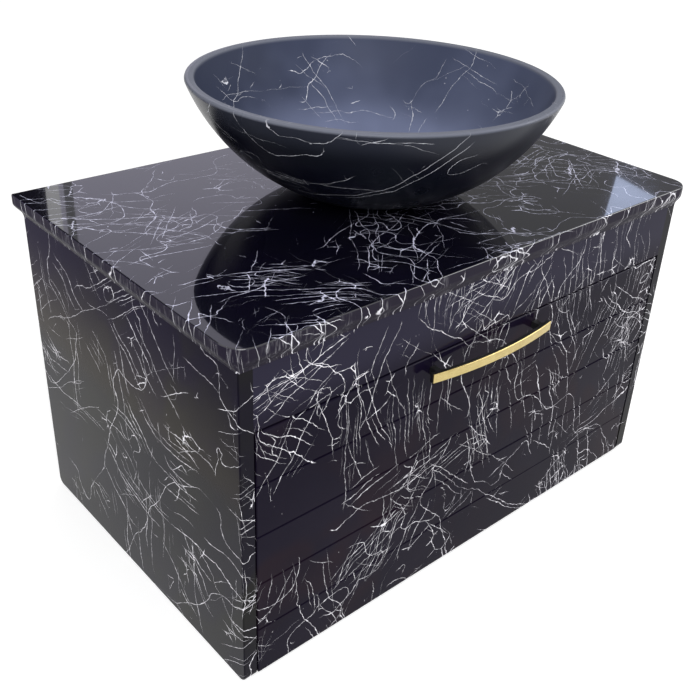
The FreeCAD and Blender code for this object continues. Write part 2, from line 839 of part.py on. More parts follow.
# Runners: three rolled channels a side, nested and carried on caged balls. A section is drawn with its first
# coordinate counted from the cabinet's side towards the drawer, and mirrored for the left-hand runner.
race = ball_radius * 2 + ball_clearance * 2
outer_half = runner_height / 2
middle_half = outer_half - runner_gauge - race
inner_half = middle_half - runner_gauge - race
outer_tip = runner_thickness - runner_step
middle_web = runner_step
middle_tip = runner_thickness - runner_gauge - ball_clearance
inner_tip = middle_web + runner_gauge + runner_step
cabinet_screw_shares = (0.1, 0.5, 0.9)
drawer_screw_shares = (0.1, 0.9)


def mirrored(upper):
    """A whole section from its upper half."""
    return upper + [(across, -up) for across, up in reversed(upper)]


def channel_section(web, tip, half, lip):
    """A channel with its web at web and its flanges out to tip, each ending in a lip where one is given."""
    gauge = runner_gauge if tip.value > web.value else -runner_gauge
    inside = half - runner_gauge
    lipped = [(tip, inside - lip), (tip - gauge, inside - lip), (tip - gauge, inside)]
    return mirrored([(web, half), (tip, half)] + (lipped if lip is not zero else [(tip, inside)]) + [
        (web + gauge, inside)])


def cage_section(web, tip, half):
    """A strip folded into a channel whose flanges lie in the middle of the races."""
    fold = half + race / 2
    low = fold - cage_gauge / 2
    high = fold + cage_gauge / 2
    return mirrored([(web, high), (tip, high), (tip, low), (web + cage_gauge, low)])


def rolled(name, section, sign, length, y):
    """A section drawn out along Y beside the cabinet's side."""
    body = doc.addObject("PartDesign::Body", name)
    profile = new_sketch(body, name + "_section", "XZ_Plane")
    trace(profile, [(across * -sign if across is not zero else zero, up) for across, up in section])
    pad(body, profile, length, reverse=True)
    return place(body, inner_x * sign, y, runner_z)


def caged_balls(label, sign, web, tip, half):
    """One cage and its balls, half way along the runner."""
    start = box_y + (runner_length - cage_length) / 2
    strip = rolled(label + "_strip", cage_section(web, tip, half), sign, cage_length, start)
    up = half + race / 2
    x = (inner_x - (web + cage_gauge + tip) / 2) * sign
    spacing = cage_length / ball_count
    holes = []
    balls = []
    for i in range(int(ball_count.value)):
        y = start + spacing * i + spacing / 2
        hole_length = up * 2 + cage_gauge * 2
        holes.append(rod(f"{label}_hole_{i}", ball_radius + cage_clearance, hole_length, x, y,
                         runner_z - up - cage_gauge))
        for level, z in (("upper", runner_z + up), ("lower", runner_z - up)):
            ball = doc.addObject("Part::Sphere", f"{label}_{level}_ball_{i}")
            bind(ball, "Radius", ball_radius)
            balls.append(place(ball, x, y, z))
    piece(label, group(label + "_group", [cut(label + "_pierced", strip, holes)] + balls))


def runner(side, sign):
    """Lays one runner's channels, cages and screws, and returns its two sets of screws."""
    label = "runner_" + side
    sections = {
        label + "_outer": channel_section(zero, outer_tip, outer_half, runner_lip),
        label + "_middle": channel_section(middle_web, middle_tip, middle_half, zero),
        label + "_inner": channel_section(runner_thickness, inner_tip, inner_half, zero),
    }
    for name, section in sections.items():
        piece(name, rolled(name + "_body", section, sign, runner_length, box_y))
    caged_balls(f"ball_cage_{side}_outer", sign, middle_web - cage_gauge - cage_clearance,
                outer_tip - runner_gauge - cage_clearance, middle_half)
    caged_balls(f"ball_cage_{side}_inner", sign, middle_web + runner_gauge + cage_clearance,
                runner_thickness - runner_gauge - cage_clearance, inner_half)
    cabinet = []
    for i, share in enumerate(cabinet_screw_shares):
        at = [(inner_x - runner_gauge) * sign, box_y + runner_length * share, runner_z]
        labels = [label + "_outer", "side_panel_" + side]
        name = f"{label}_cabinet_screw_{i}"
        cabinet.append(drive(labels, name, at, (sign, 0, 0), runner_screw_length, runner_gauge))
    drawer = []
    for i, share in enumerate(drawer_screw_shares):
        at = [(box_half + runner_gauge) * sign, box_y + runner_length * share, runner_z]
        labels = [label + "_inner", "drawer_side_" + side]
        name = f"{label}_drawer_screw_{i}"
        drawer.append(drive(labels, name, at, (-sign, 0, 0), runner_screw_length, runner_gauge))
    return cabinet, drawer


left_screws, right_screws = [runner(side_name, side_sign) for side_name, side_sign in SIDES.items()]
piece("runner_cabinet_screws", group("cabinet_screw_group", left_screws[0] + right_screws[0]))
piece("runner_drawer_screws", group("drawer_screw_group", left_screws[1] + right_screws[1]))

# Handle: a black bowed strap on two posts, with a brass strip laid on its face.
bow_sag = handle_reach - handle_end_reach
bow_half = handle_length / 2
bow_radius = (bow_half * bow_half + bow_sag * bow_sag) / (bow_sag * 2)
face_back = handle_end_reach - handle_face_thickness
strap_back = face_back - handle_body_thickness


def bowed_band(body, name, back, thickness):
    """A strap between two equal arcs a thickness apart, its ends standing off the drawer front by back."""
    plan = new_sketch(body, name, "XY_Plane")
    front = back + thickness
    corners = [(-bow_half, -back), (bow_half, -back), (bow_half, -front), (-bow_half, -front)]
    trace(plan, corners, {0: (bow_radius, -1), 2: (bow_radius, 1)})
    return pad(body, plan, handle_height)


def handle():
    bow = doc.addObject("PartDesign::Body", "handle_bow_body")
    bowed_band(bow, "bow_plan", strap_back, handle_body_thickness)
    posts = new_sketch(bow, "post_plan", "XY_Plane", (handle_height - handle_post_height) / 2)
    for sign in SIDES.values():
        left = handle_pitch / 2 * sign - handle_post_width / 2
        trace(posts, rectangle_corners(left, -face_back, handle_post_width, face_back))
    pad(bow, posts, handle_post_height)
    strip = doc.addObject("PartDesign::Body", "handle_face_body")
    band = bowed_band(strip, "face_plan", face_back, handle_face_thickness)

    def front_arris_edge(edge):
        level = near(edge.BoundBox.ZLength, 0) and edge.BoundBox.XLength > bow_half.value
        return level and edge.BoundBox.YMin < -(face_back + bow_sag + handle_face_thickness / 2).value

    dress(strip, "Chamfer", band, handle_arris, front_arris_edge)
    for label, body in (("handle_bow", bow), ("handle_face", strip)):
        piece(label, place(body, -handle_offset, front_y, handle_z - handle_height / 2))
    screws = []
    for side, sign in SIDES.items():
        at = [handle_pitch / 2 * sign - handle_offset, box_y, handle_z]
        length = front_thickness + handle_screw_depth
        screws.append(drive(["drawer_front", "handle_bow"], f"handle_screw_{side}", at, AGAINST_Y, length))
    piece("handle_screws", group("handle_screw_group", screws))


handle()


def finish(label, blank):
    """Drills a piece's holes and gives it its name."""
    tools = drillings[label]
    finished = cut(label + "_finished", blank, tools) if tools else blank
    finished.Label = label
    return finished


sub_parts = [finish(label, blank) for label, blank in pieces.items()]
doc.recompute()

for obj in doc.Objects:
    if "Invalid" in obj.State or "Error" in obj.State:
        raise RuntimeError(f"{obj.Name} ({obj.Label}) failed: {obj.State}")
for part in sub_parts:
    if part.Shape.isNull() or not part.Shape.isValid() or part.Shape.Volume <= 0:
        raise RuntimeError(f"{part.Label} has no valid solid")

os.makedirs("parts", exist_ok=True)
for part in sub_parts:
    part.Shape.exportStep(f"parts/{part.Label}.step")
print(f"{len(sub_parts)} sub-parts, {sum(len(part.Shape.Solids) for part in sub_parts)} solids")
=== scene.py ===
import math

import bmesh
import bpy
from mathutils import Matrix, Vector


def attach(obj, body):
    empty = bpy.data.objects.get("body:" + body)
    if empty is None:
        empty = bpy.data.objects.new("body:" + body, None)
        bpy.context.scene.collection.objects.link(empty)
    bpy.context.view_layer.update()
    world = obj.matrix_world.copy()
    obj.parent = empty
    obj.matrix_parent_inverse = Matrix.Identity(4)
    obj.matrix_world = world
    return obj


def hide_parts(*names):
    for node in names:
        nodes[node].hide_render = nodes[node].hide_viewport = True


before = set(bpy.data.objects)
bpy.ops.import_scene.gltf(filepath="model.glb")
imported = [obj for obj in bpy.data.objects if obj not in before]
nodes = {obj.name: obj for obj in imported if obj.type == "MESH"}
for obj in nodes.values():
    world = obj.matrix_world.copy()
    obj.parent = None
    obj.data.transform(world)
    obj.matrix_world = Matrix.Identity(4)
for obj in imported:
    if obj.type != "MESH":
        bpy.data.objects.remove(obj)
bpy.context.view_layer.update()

print("frame loaded:", len(nodes), "nodes")


class Wire:
    # one output socket, with the operators that the node maths uses
    def __init__(self, graph, socket):
        self.graph = graph
        self.socket = socket

    def __add__(self, other):
        return self.graph.maths("ADD", self, other)

    def __sub__(self, other):
        return self.graph.maths("SUBTRACT", self, other)

    def __rsub__(self, other):
        return self.graph.maths("SUBTRACT", other, self)

    def __mul__(self, other):
        return self.graph.maths("MULTIPLY", self, other)

    def __truediv__(self, other):
        return self.graph.maths("DIVIDE", self, other)

    def __abs__(self):
        return self.graph.maths("ABSOLUTE", self)

    __radd__ = __add__
    __rmul__ = __mul__

    def orMore(self, other):
        return self.graph.maths("MAXIMUM", self, other)

    def output(self, name):
        return Wire(self.graph, self.socket.node.outputs[name])


class Graph:
    # a node tree that is filled through one method
    def __init__(self, tree):
        self.tree = tree
        tree.nodes.clear()

    def fill(self, node, values):
        # numbers go on the sockets themselves, and wires are linked
        for key, value in (values.items() if isinstance(values, dict) else enumerate(values)):
            if isinstance(value, Wire):
                self.tree.links.new(value.socket, node.inputs[key])
            elif value is not None:
                node.inputs[key].default_value = value

    def add(self, kind, settings=None, values=(), give=0):
        # the last argument is the output that comes back
        node = self.tree.nodes.new(kind)
        for key, value in (settings or {}).items():
            setattr(node, key, value)
        self.fill(node, values)
        return Wire(self, node.outputs[give]) if len(node.outputs) else node

    def maths(self, operation, *values):
        return self.add("ShaderNodeMath", {"operation": operation}, values)

    def step(self, value, low, high, start=0.0, end=1.0):
        return self.add("ShaderNodeMapRange", {"interpolation_type": "SMOOTHSTEP"}, [value, low, high, start, end])

    def mix(self, factor, first, second):
        return self.add("ShaderNodeMix", {"data_type": "RGBA"}, {0: factor, 6: first, 7: second}, 2)

    def noise(self, place, scale, detail=2.0, roughness=0.5, give=0):
        return self.add("ShaderNodeTexNoise", None, {
            "Vector": place, "Scale": scale, "Detail": detail, "Roughness": roughness}, give)

    def vector(self, operation, first, second=None, give=0):
        return self.add("ShaderNodeVectorMath", {"operation": operation}, [first, second], give)

    def dot(self, first, second):
        return self.vector("DOT_PRODUCT", first, second, "Value")

    def length(self, vector):
        return self.vector("LENGTH", vector, None, "Value")

    def point(self, x, y, z):
        return self.add("ShaderNodeCombineXYZ", None, [x, y, z])

    def split(self, vector):
        x = self.add("ShaderNodeSeparateXYZ", None, [vector])
        return x, x.output("Y"), x.output("Z")

    def scaled(self, vector, size):
        if isinstance(vector, Wire):
            return self.vector("MULTIPLY", vector, (size, size, size))
        return tuple(part * size for part in vector)

    def stretched(self, place, sizes, detail, roughness=0.5):
        # a noise of a different scale each way
        return self.noise(self.vector("MULTIPLY", place, sizes), 1.0, detail, roughness)

    def push(self, place, scale, reach, detail):
        # a noise that points every way, up to about half of reach
        shake = self.vector("SUBTRACT", self.noise(place, scale, detail, 0.6, 1), (0.5, 0.5, 0.5))
        return self.scaled(shake, reach)

    def bump(self, height, strength, distance):
        return self.add("ShaderNodeBump", None, {"Strength": strength, "Distance": distance, "Height": height})


def emptyMaterial(name):
    material = bpy.data.materials.new(name)
    material.use_nodes = True
    return material, Graph(material.node_tree)


def surface(name):
    # a material with a Principled shader, its graph and its object coordinates
    material, graph = emptyMaterial(name)
    shader = graph.add("ShaderNodeBsdfPrincipled")
    graph.add("ShaderNodeOutputMaterial", None, {"Surface": shader})
    return material, graph, shader.socket.node, graph.add("ShaderNodeTexCoord", None, (), "Object")


def grey(level):
    return (level, level, level, 1.0)


# where the film lies, in metres
filmSheet = {
    "frontFace": -0.194, "panelInside": 0.3112, "frontBack": -0.1764, "rawEdge": 0.2166, "counterTop": 0.3957,
    "seam": 0.0004, "topSeam": 0.0010, "sideTilt": 0.35, "edgeSpread": (1.2, 2.0),
    "basinAxis": (0.0, 0.0105, 0.0), "basinWrap": 0.16, "basinArc": (0.00866, 0.60159), "basinInside": 0.2067,
    "basinSeam": 0.0006, "basinRise": (0.8, 0.6, 0.7), "rimHeight": 0.5248,
}

figure = {
    # what all the marble figures share. The breadth of a line: its soft edge, and the range that each noise or
    # crowd is read over, with the breadth at its two ends
    "softEdge": (1.6, 0.3), "hair": 0.00002,
    "breadthScale": 40.0, "breadthRange": (0.35, 0.62), "breadth": (0.75, 1.35),
    "crowdedBreadth": (0.10, 0.26, 0.85, 1.1), "knotBreadth": (0.62, 0.70, 1.0, 1.8),
    # its shine: beads along it, and more where lines cross
    "beadScale": 190.0, "beadShine": (0.34, 0.62, 0.45, 1.35), "crossing": (0.2, 0.9), "crossingShine": 0.5,
    # strands: how full a crowd must be for one to show, its pace of change, sideways wander and uneven spacing
    "strandShows": (0.685, 0.785), "strandEnds": (0.0, 0.2), "strandPace": 4.5, "strandWander": 2.3,
    "strandScatter": 0.5, "strandShine": (0.8, 0.5), "otherBend": (0.3, 0.5, 0.9),
    "seeds": {"family": 7.3, "luck": 3.7, "rank": 5.17, "slice": 0.3, "patch": (2.3, 1.1, 0.7)},
    # threads and the web: the hair's breadth that a slope is measured over, and the least slope
    "threadDetail": 1.5, "threadHair": 0.0006, "flattest": 0.02, "threadFade": 0.05,
    "webScale": 30.0, "webThins": 0.08, "webFade": 0.02,
    # crowds: where a cluster or a calm patch starts and is full, in reaches, and how much it changes them
    "cluster": (1.5, 0.3), "clusterLift": 0.22, "calm": (1.3, 0.6), "calmDrop": 0.3,
    "crowdScale": 7.0, "patchScale": 6.0,
    "dotScale": 130.0, "dotSize": (0.12, 0.05), "dotShare": (0.80, 0.82), "dotPatch": (0.38, 0.58),
    # the ground: clouds between dark and pale, a warmer tint, and small changes of shine and level
    "cloudScale": 5.0, "cloud": (0.35, 0.68), "tintScale": 9.0, "tint": (0.46, 0.56),
    "sheenScale": 11.0, "sheen": (0.85, 1.2), "reliefScale": 420.0, "relief": 0.05, "reliefDepth": 0.0006,
}

marble = {
    # each family of strands: angle, gap, strength. Each cluster: middle across and up, reach across and up, and
    # a weight for every family in turn. A calm patch has the same places and reaches, and thins every family.
    # Each thread: scale, level, share; the web: scale, share. Bend and jag: scale, reach, detail
    "front": {
        "bend": (8.0, 0.050, 2.0), "jag": (95.0, 0.0052, 3.0), "half": 0.00022, "azimuth": None, "sparse": 0.0,
        "families": [(16, 0.0066, 1.0), (30, 0.0062, 0.9), (64, 0.0068, 0.9), (97, 0.0064, 0.9), (109, 0.0072, 1.0),
                     (143, 0.0064, 1.0), (91, 0.0028, 0.45)],
        "clusters": [
            (-0.270, 0.335, 0.055, 0.034, (1.1, 0.9, 0.3, 0, 0, 1.0, 0)),
            (-0.272, 0.285, 0.050, 0.035, (0, 0, 0.4, 0, 0.9, 1.0, 0)),
            (-0.198, 0.240, 0.018, 0.080, (0, 0, 0, 0.5, 0.4, 0, 0.8)),
            (-0.120, 0.240, 0.055, 0.055, (0, 0, 0, 0.3, 0, 0, 1.0)),
            (-0.144, 0.320, 0.040, 0.035, (0, 0, 0.9, 0, 0, 0.6, 0)),
            (-0.160, 0.075, 0.060, 0.040, (0.9, 1.1, 0.9, 0, 0, 0.4, 0)),
            (-0.078, 0.163, 0.080, 0.030, (1.1, 0.6, 0, 0, 0.4, 0, 0)),
            (-0.102, 0.135, 0.040, 0.030, (0.8, 0, 0, 0.7, 0, 1.0, 0)),
            (0.016, 0.108, 0.075, 0.030, (0.7, 0.2, 0, 0.2, 0, 0, 0)),
            (0.005, 0.180, 0.030, 0.075, (0, 0, 0, 1.1, 1.0, 0, 0.5)),
            (-0.025, 0.075, 0.035, 0.025, (0, 0.7, 0, 0.7, 0, 0, 0)),
            (-0.039, 0.348, 0.050, 0.025, (0, 0.6, 0.8, 0, 0, 0, 0.2)),
            (0.030, 0.330, 0.070, 0.045, (0, 0, 0.9, 0.2, 0, 0, 0.3)),
            (0.122, 0.313, 0.030, 0.060, (0, 0, 0.4, 1.0, 0, 0, 0.4)),
            (0.183, 0.308, 0.025, 0.060, (0, 0, 0.3, 0.9, 0, 0, 0.3)),
            (0.101, 0.140, 0.020, 0.090, (0.2, 0, 0, 0, 1.0, 0, 0)),
            (0.239, 0.158, 0.045, 0.070, (0.3, 0.8, 0, 0, 0, 0, 0)),
            (-0.068, 0.052, 0.045, 0.016, (0.3, 0, 0, 0, 0, 0.9, 0)),
        ],
        "calm": [(-0.262, 0.172, 0.050, 0.055), (0.105, 0.055, 0.040, 0.030)],
        "threads": [(7.0, 0.50, 0.55), (13.0, 0.49, 0.69)], "web": (34.0, 0.76), "specks": 0.6,
        "dark": (0.0046, 0.0030, 0.0110, 1), "pale": (0.0085, 0.0060, 0.0155, 1), "warm": (0.0130, 0.0062, 0.0125, 1),
        "vein": (0.94, 0.92, 0.98, 1), "roughness": 0.10, "specular": 0.060,
        # painted light: from the fascia up the ground is paler, lifting the shade that the counter's overhang casts
        "fascia": (0.0205, 0.0185, 0.0360, 1), "fasciaFrom": (0.29, 0.34),
    },
    "side": {
        "bend": (7.0, 0.055, 2.0), "jag": (95.0, 0.0048, 3.0), "half": 0.00024, "azimuth": None, "sparse": 0.03,
        "families": [(88, 0.0072, 1.1), (130, 0.0068, 1.2), (155, 0.0066, 1.2), (98, 0.0068, 1.2), (12, 0.0064, 1.1)],
        "clusters": [
            (-0.644, 0.327, 0.030, 0.150, (0.6, 0.4, 0, 0, 0.4)),
            (-0.504, 0.318, 0.050, 0.120, (0, 1.0, 0, 0, 0)),
            (-0.440, 0.342, 0.030, 0.045, (0, 0.7, 0, 0.7, 0.5)),
            (-0.481, 0.370, 0.020, 0.060, (0.5, 0.4, 0, 0, 0)),
            (-0.405, 0.277, 0.100, 0.028, (0, 0, 1.1, 0, 0)),
            (-0.430, 0.204, 0.035, 0.075, (0, 0.5, 0.9, 0.6, 0.3)),
            (-0.583, 0.273, 0.120, 0.025, (0, 0, 0.9, 0, 0.5)),
            (-0.383, 0.139, 0.070, 0.035, (0, 0.3, 1.1, 0, 0)),
            (-0.449, 0.083, 0.035, 0.030, (0, 0.9, 0, 0.5, 0.3)),
            (-0.317, 0.353, 0.030, 0.022, (0, 0, 0, 0, 1.0)),
            (-0.622, 0.147, 0.032, 0.028, (0.3, 0.9, 0, 0, 0.5)),
            (-0.560, 0.225, 0.050, 0.110, (0, 0.85, 0, 0, 0)),
            (-0.430, 0.110, 0.050, 0.080, (0, 1.0, 0.3, 0, 0)),
            (-0.595, 0.345, 0.030, 0.040, (0.5, 0.9, 0, 0, 0)),
            (-0.469, 0.312, 0.025, 0.040, (0.3, 0.5, 0, 0.6, 0)),
            (-0.417, 0.262, 0.025, 0.035, (0, 1.0, 0, 0.5, 0.4)),
            (-0.340, 0.320, 0.025, 0.040, (0.7, 0, 0, 0, 0.9)),
            (-0.500, 0.190, 0.080, 0.035, (0, 0.3, 1.0, 0, 0)),
            (-0.319, 0.215, 0.020, 0.050, (0.9, 0, 0, 0.6, 1.0)),
            (-0.319, 0.115, 0.020, 0.050, (0.9, 0.4, 0, 0.6, 0.8)),
        ],
        "calm": [],
        "threads": [(6.0, 0.50, 0.54), (11.0, 0.49, 0.74)], "web": (32.0, 0.78), "specks": 0.6,
        "dark": (0.0036, 0.0028, 0.0085, 1), "pale": (0.0070, 0.0056, 0.0125, 1), "warm": (0.0110, 0.0105, 0.0085, 1),
        "vein": (0.94, 0.92, 0.98, 1), "roughness": 0.10, "specular": 0.085,
    },
    "counter": {
        "bend": (8.0, 0.042, 2.0), "jag": (95.0, 0.0042, 3.0), "half": 0.00025, "azimuth": None, "sparse": 0.0,
        "families": [(50, 0.0068, 0.9), (128, 0.0062, 1.0), (150, 0.0058, 1.0), (177, 0.0060, 0.9), (22, 0.0068, 0.8)],
        "clusters": [
            (-0.250, 0.063, 0.045, 0.070, (0.5, 0.9, 0.7, 0, 0)),
            (-0.263, 0.002, 0.060, 0.022, (0, 0, 0.8, 0.9, 0.3)),
            (-0.284, -0.048, 0.050, 0.016, (0, 0, 0, 0, 0.9)),
            (-0.256, 0.087, 0.018, 0.100, (0.8, 0, 0, 0, 0)),
            (-0.228, -0.104, 0.060, 0.032, (0, 0.8, 1.0, 0.7, 0)),
            (-0.211, -0.168, 0.070, 0.028, (0, 0, 1.0, 0.8, 0.3)),
            (-0.223, -0.081, 0.025, 0.070, (0.8, 0, 0, 0, 0)),
            (-0.124, -0.152, 0.028, 0.070, (0.9, 0, 0.3, 0, 0)),
            (-0.041, -0.076, 0.070, 0.050, (0.5, 0.9, 0.3, 0, 0.3)),
            (0.234, -0.085, 0.060, 0.060, (0.6, 0.9, 0.3, 0, 0.6)),
            (0.113, -0.137, 0.030, 0.050, (0.9, 0, 0.3, 0, 0)),
            (-0.250, -0.200, 0.060, 0.020, (0.5, 0, 0.6, 0.9, 0)),
        ],
        "calm": [],
        "threads": [(7.0, 0.50, 0.56), (15.0, 0.49, 0.62)], "web": (34.0, 0.69), "specks": 0.9,
        "dark": (0.0030, 0.0024, 0.0075, 1), "pale": (0.0055, 0.0046, 0.0105, 1), "warm": (0.0055, 0.0052, 0.0075, 1),
        "vein": (0.94, 0.93, 0.99, 1), "roughness": 0.10, "specular": 0.05,
        "coat": {"Coat Roughness": 0.03, "Coat IOR": 1.75, "Coat Tint": (0.86, 0.87, 1.0, 1)},
        # painted light: the edge colour is a paler ground for the film below the top, lifting the shade on the nose
        # and cove
        "edge": (0.0180, 0.0150, 0.0260, 1), "edgeRoughness": 0.3, "edgeVeins": 0.9,
        "smear": 0.12, "combs": (430.0, 430.0, 55.0), "combed": (0.50, 0.68),
        "tufts": (38.0, 38.0, 10.0), "tufted": (0.46, 0.60),
    },
    # the basin's clusters give an azimuth and a height on the unrolled wall
    "basin": {
        "bend": (6.0, 0.055, 3.0), "jag": (95.0, 0.0034, 3.0), "half": 0.00019, "azimuth": 52, "sparse": 0.09,
        "families": [(66, 0.0064, 1.0), (136, 0.0072, 1.0), (20, 0.0068, 0.9), (50, 0.0064, 0.9), (4, 0.0056, 1.0)],
        "clusters": [
            (70, 1.170, 0.045, 0.060, (0.8, 0, 0, 0.3, 0)),
            (21, 1.193, 0.060, 0.045, (0, 0.62, 0.3, 0, 0)),
            (1, 1.208, 0.045, 0.030, (0, 0.3, 0.55, 0, 0)),
            (29, 1.142, 0.028, 0.026, (0.4, 0, 0.55, 0, 0)),
            (110, 1.201, 0.034, 0.034, (0, 0, 0, 0.5, 0.3)),
            (-26, 1.205, 0.030, 0.030, (0, 0.5, 0, 0, 0)),
            (-164, 0.462, 0.036, 0.014, (0, 0, 0, 0, 1.0)),
            (-140, 0.458, 0.052, 0.010, (0, 0, 0.4, 0, 1.0)),
            (-116, 0.502, 0.034, 0.030, (0, 0, 0, 0.6, 0)),
            (-105, 0.494, 0.024, 0.018, (0, 0, 0.6, 0, 0)),
            (177, 0.511, 0.022, 0.034, (0.9, 0, 0, 0, 0)),
        ],
        "calm": [],
        "threads": [(5.0, 0.50, 0.50), (10.0, 0.49, 0.58)], "web": (28.0, 0.72), "specks": 0.7,
        "dark": (0.0030, 0.0034, 0.0090, 1), "pale": (0.0085, 0.0095, 0.0185, 1), "warm": (0.0080, 0.0105, 0.0150, 1),
        "vein": (0.74, 0.75, 0.82, 1), "roughness": 0.30, "specular": 0.17,
        # painted light: the inside is a lit copy of the glaze, from a dark to a pale colour, paler towards its floor
        # and to the right
        "paintedLitInsideDark": (0.024, 0.031, 0.062, 1), "paintedLitInsidePale": (0.165, 0.190, 0.300, 1), "insideRoughness": 0.22,
        "paintedLightDown": (0.468, 0.416), "paintedLightRight": (-0.10, 0.14), "paintedLightBy": (0.80, 0.3, 0.3),
        # painted highlight: a pale band along the top of the rim, which hides most veins there
        "rim": (0.15, 0.16, 0.20, 1), "rimHighlightBand": 0.004, "rimHighlightHides": 0.8,
        # painted reflection: a paler band on the outside just below the rim
        "band": (0.022, 0.025, 0.037, 1), "bandFrom": (0.490, 0.522),
        # long veins that cut straight across the wall: a plane's normal and distance, and their middle and reach
        "sweeps": [((-0.904, -0.211, 0.372), 0.2874, (-0.100, -0.115, 0.455), 0.105),
                   ((-0.890, -0.240, 0.388), 0.2893, (-0.090, -0.140, 0.470), 0.070)],
        "sweepScales": (16.0, 21.0), "sweepShake": 0.016, "sweepHalf": 1.15,
    },
}

# the bare board behind the cabinet, where the film stops
rawBoard = {"dark": (0.19, 0.125, 0.070, 1), "pale": (0.36, 0.255, 0.155, 1), "tone": (0.35, 0.68),
            "fibres": (700.0, 700.0, 240.0), "fade": 0.0003, "roughness": 0.7, "relief": 4.0}


def onSheet(graph, place, name):
    # places on the unrolled film, in metres, the ways along it and up it, and where the basin's inside is
    x, y, z = graph.split(place)
    along, up = (1.0, 0.0, 0.0), (0.0, 1.0, 0.0)
    if name == "basin":
        flat = graph.vector("MULTIPLY", graph.vector("SUBTRACT", place, filmSheet["basinAxis"]), (1.0, 1.0, 0.0))
        ring = graph.vector("NORMALIZE", flat)
        radius = graph.length(flat)
        arcX, arcZ = filmSheet["basinArc"]
        reach = graph.length(graph.point(radius - arcX, z - arcZ, 0.0))
        inside = graph.step(reach, filmSheet["basinInside"], filmSheet["basinInside"] - filmSheet["basinSeam"])
        byHeight, byRadius, byInside = filmSheet["basinRise"]
        rise = z * byHeight + radius * byRadius + inside * byInside
        here = graph.vector("ADD", graph.scaled(ring, filmSheet["basinWrap"]), graph.point(0.0, 0.0, rise))
        return here, graph.vector("CROSS_PRODUCT", (0.0, 0.0, 1.0), ring), (0.0, 0.0, 1.0), inside
    if name == "counter":
        # the film is stretched down over the edge
        drop = filmSheet["counterTop"] - z
        spreadX, spreadY = filmSheet["edgeSpread"]
        return graph.point(x * (drop * spreadX + 1.0), y * (drop * spreadY + 1.0), 0.0), along, up, None
    behind = y - filmSheet["frontFace"]
    return graph.point(x + graph.maths("SIGN", x) * behind, z + behind * filmSheet["sideTilt"], 0.0), along, up, None


def stroke(graph, far, half):
    # a soft-edged line of one width, where far is the distance from its middle
    outer, inner = figure["softEdge"]
    return graph.step(far, half * outer, half * inner)


def strand(graph, place, ways, kind, crowd, half, number):
    # a family of long strands; each wanders and breaks off in its own way, and more are there in a crowd
    angle, gap, strength = kind
    run, rise, along = ways
    seeds = figure["seeds"]
    turn = math.radians(angle)
    across = tuple((rise * math.cos(turn) - run * math.sin(turn)) / gap)
    cross = graph.dot(place, across) + seeds["family"] * number
    far = graph.dot(place, tuple(run * math.cos(turn) + rise * math.sin(turn)))
    rank = graph.maths("FLOOR", cross)
    luck = graph.add("ShaderNodeTexWhiteNoise", {"noise_dimensions": "1D"}, {"W": rank + seeds["luck"] * number})
    spot = graph.point(rank * seeds["rank"], far * figure["strandPace"], seeds["slice"] * number)
    life, sway = graph.split(graph.noise(spot, 1.0, 2.0, 0.5, 1))[:2]
    middle = (luck - 0.5) * figure["strandScatter"] + (sway - 0.5) * figure["strandWander"] + 0.5
    away = abs(graph.maths("FRACT", cross) - middle) * gap
    if isinstance(along, Wire):
        # the wall turns away from the family's planes, which would widen its strands
        side = graph.dot(along, across) * gap
        away = away / graph.maths("SQRT", side * side + (across[2] * gap) ** 2 + figure["flattest"])
    present = graph.step(life + crowd, *figure["strandShows"])
    line = stroke(graph, away, half * present + figure["hair"])
    spread, least = figure["strandShine"]
    return line * graph.step(present, *figure["strandEnds"]) * (luck * spread + least) * strength


def thread(graph, here, along, up, kind, half):
    # winding threads: lines of equal noise, kept to one width by the noise's own slope
    scale, level = kind
    hair, detail = figure["threadHair"], figure["threadDetail"]
    first = graph.noise(here, scale, detail)
    side = graph.noise(graph.vector("ADD", here, graph.scaled(along, hair)), scale, detail) - first
    rise = graph.noise(graph.vector("ADD", here, graph.scaled(up, hair)), scale, detail) - first
    slope = graph.maths("SQRT", side * side + rise * rise) / hair
    return stroke(graph, abs(first - level) / (slope + figure["flattest"] * scale), half)


def nearness(graph, here, centre, size, start, full):
    # from 0 at start times the reaches to 1 at full times them
    off = graph.vector("MULTIPLY", graph.vector("SUBTRACT", here, centre), size)
    return graph.step(graph.length(off), start, full)


def crowding(graph, here, look):
    # how far each family's strands crowd: patches of noise, the clusters of the table, and calm patches
    crowds = []
    level = 0.5 + look["sparse"]
    moveX, moveY, moveZ = figure["seeds"]["patch"]
    for number in range(0, len(look["families"]), 3):
        moved = graph.vector("ADD", here, (moveX * number, moveY, moveZ))
        patch = graph.noise(moved, figure["crowdScale"], 1.0, 0.5, 1)
        crowds += graph.split(graph.vector("SUBTRACT", patch, (level, level, level)))
    for first, second, reachAcross, reachUp, weights in look["clusters"]:
        centre = (first, second, 0.0)
        size = (1.0 / reachAcross, 1.0 / reachUp, 0.0)
        if look["azimuth"] is not None:
            turn = math.radians(first)
            wrap = filmSheet["basinWrap"]
            centre = (math.cos(turn) * wrap, math.sin(turn) * wrap, second)
            size = (1.0 / reachAcross, 1.0 / reachAcross, 1.0 / reachUp)
        near = nearness(graph, here, centre, size, *figure["cluster"])
        for number, weight in enumerate(weights):
            if weight:
                crowds[number] = crowds[number].orMore(near * (figure["clusterLift"] * weight))
    for first, second, reachAcross, reachUp in look["calm"]:
        size = (1.0 / reachAcross, 1.0 / reachUp, 0.0)
        drop = nearness(graph, here, (first, second, 0.0), size, *figure["calm"]) * figure["calmDrop"]
        crowds = [crowd - drop for crowd in crowds]
    return crowds


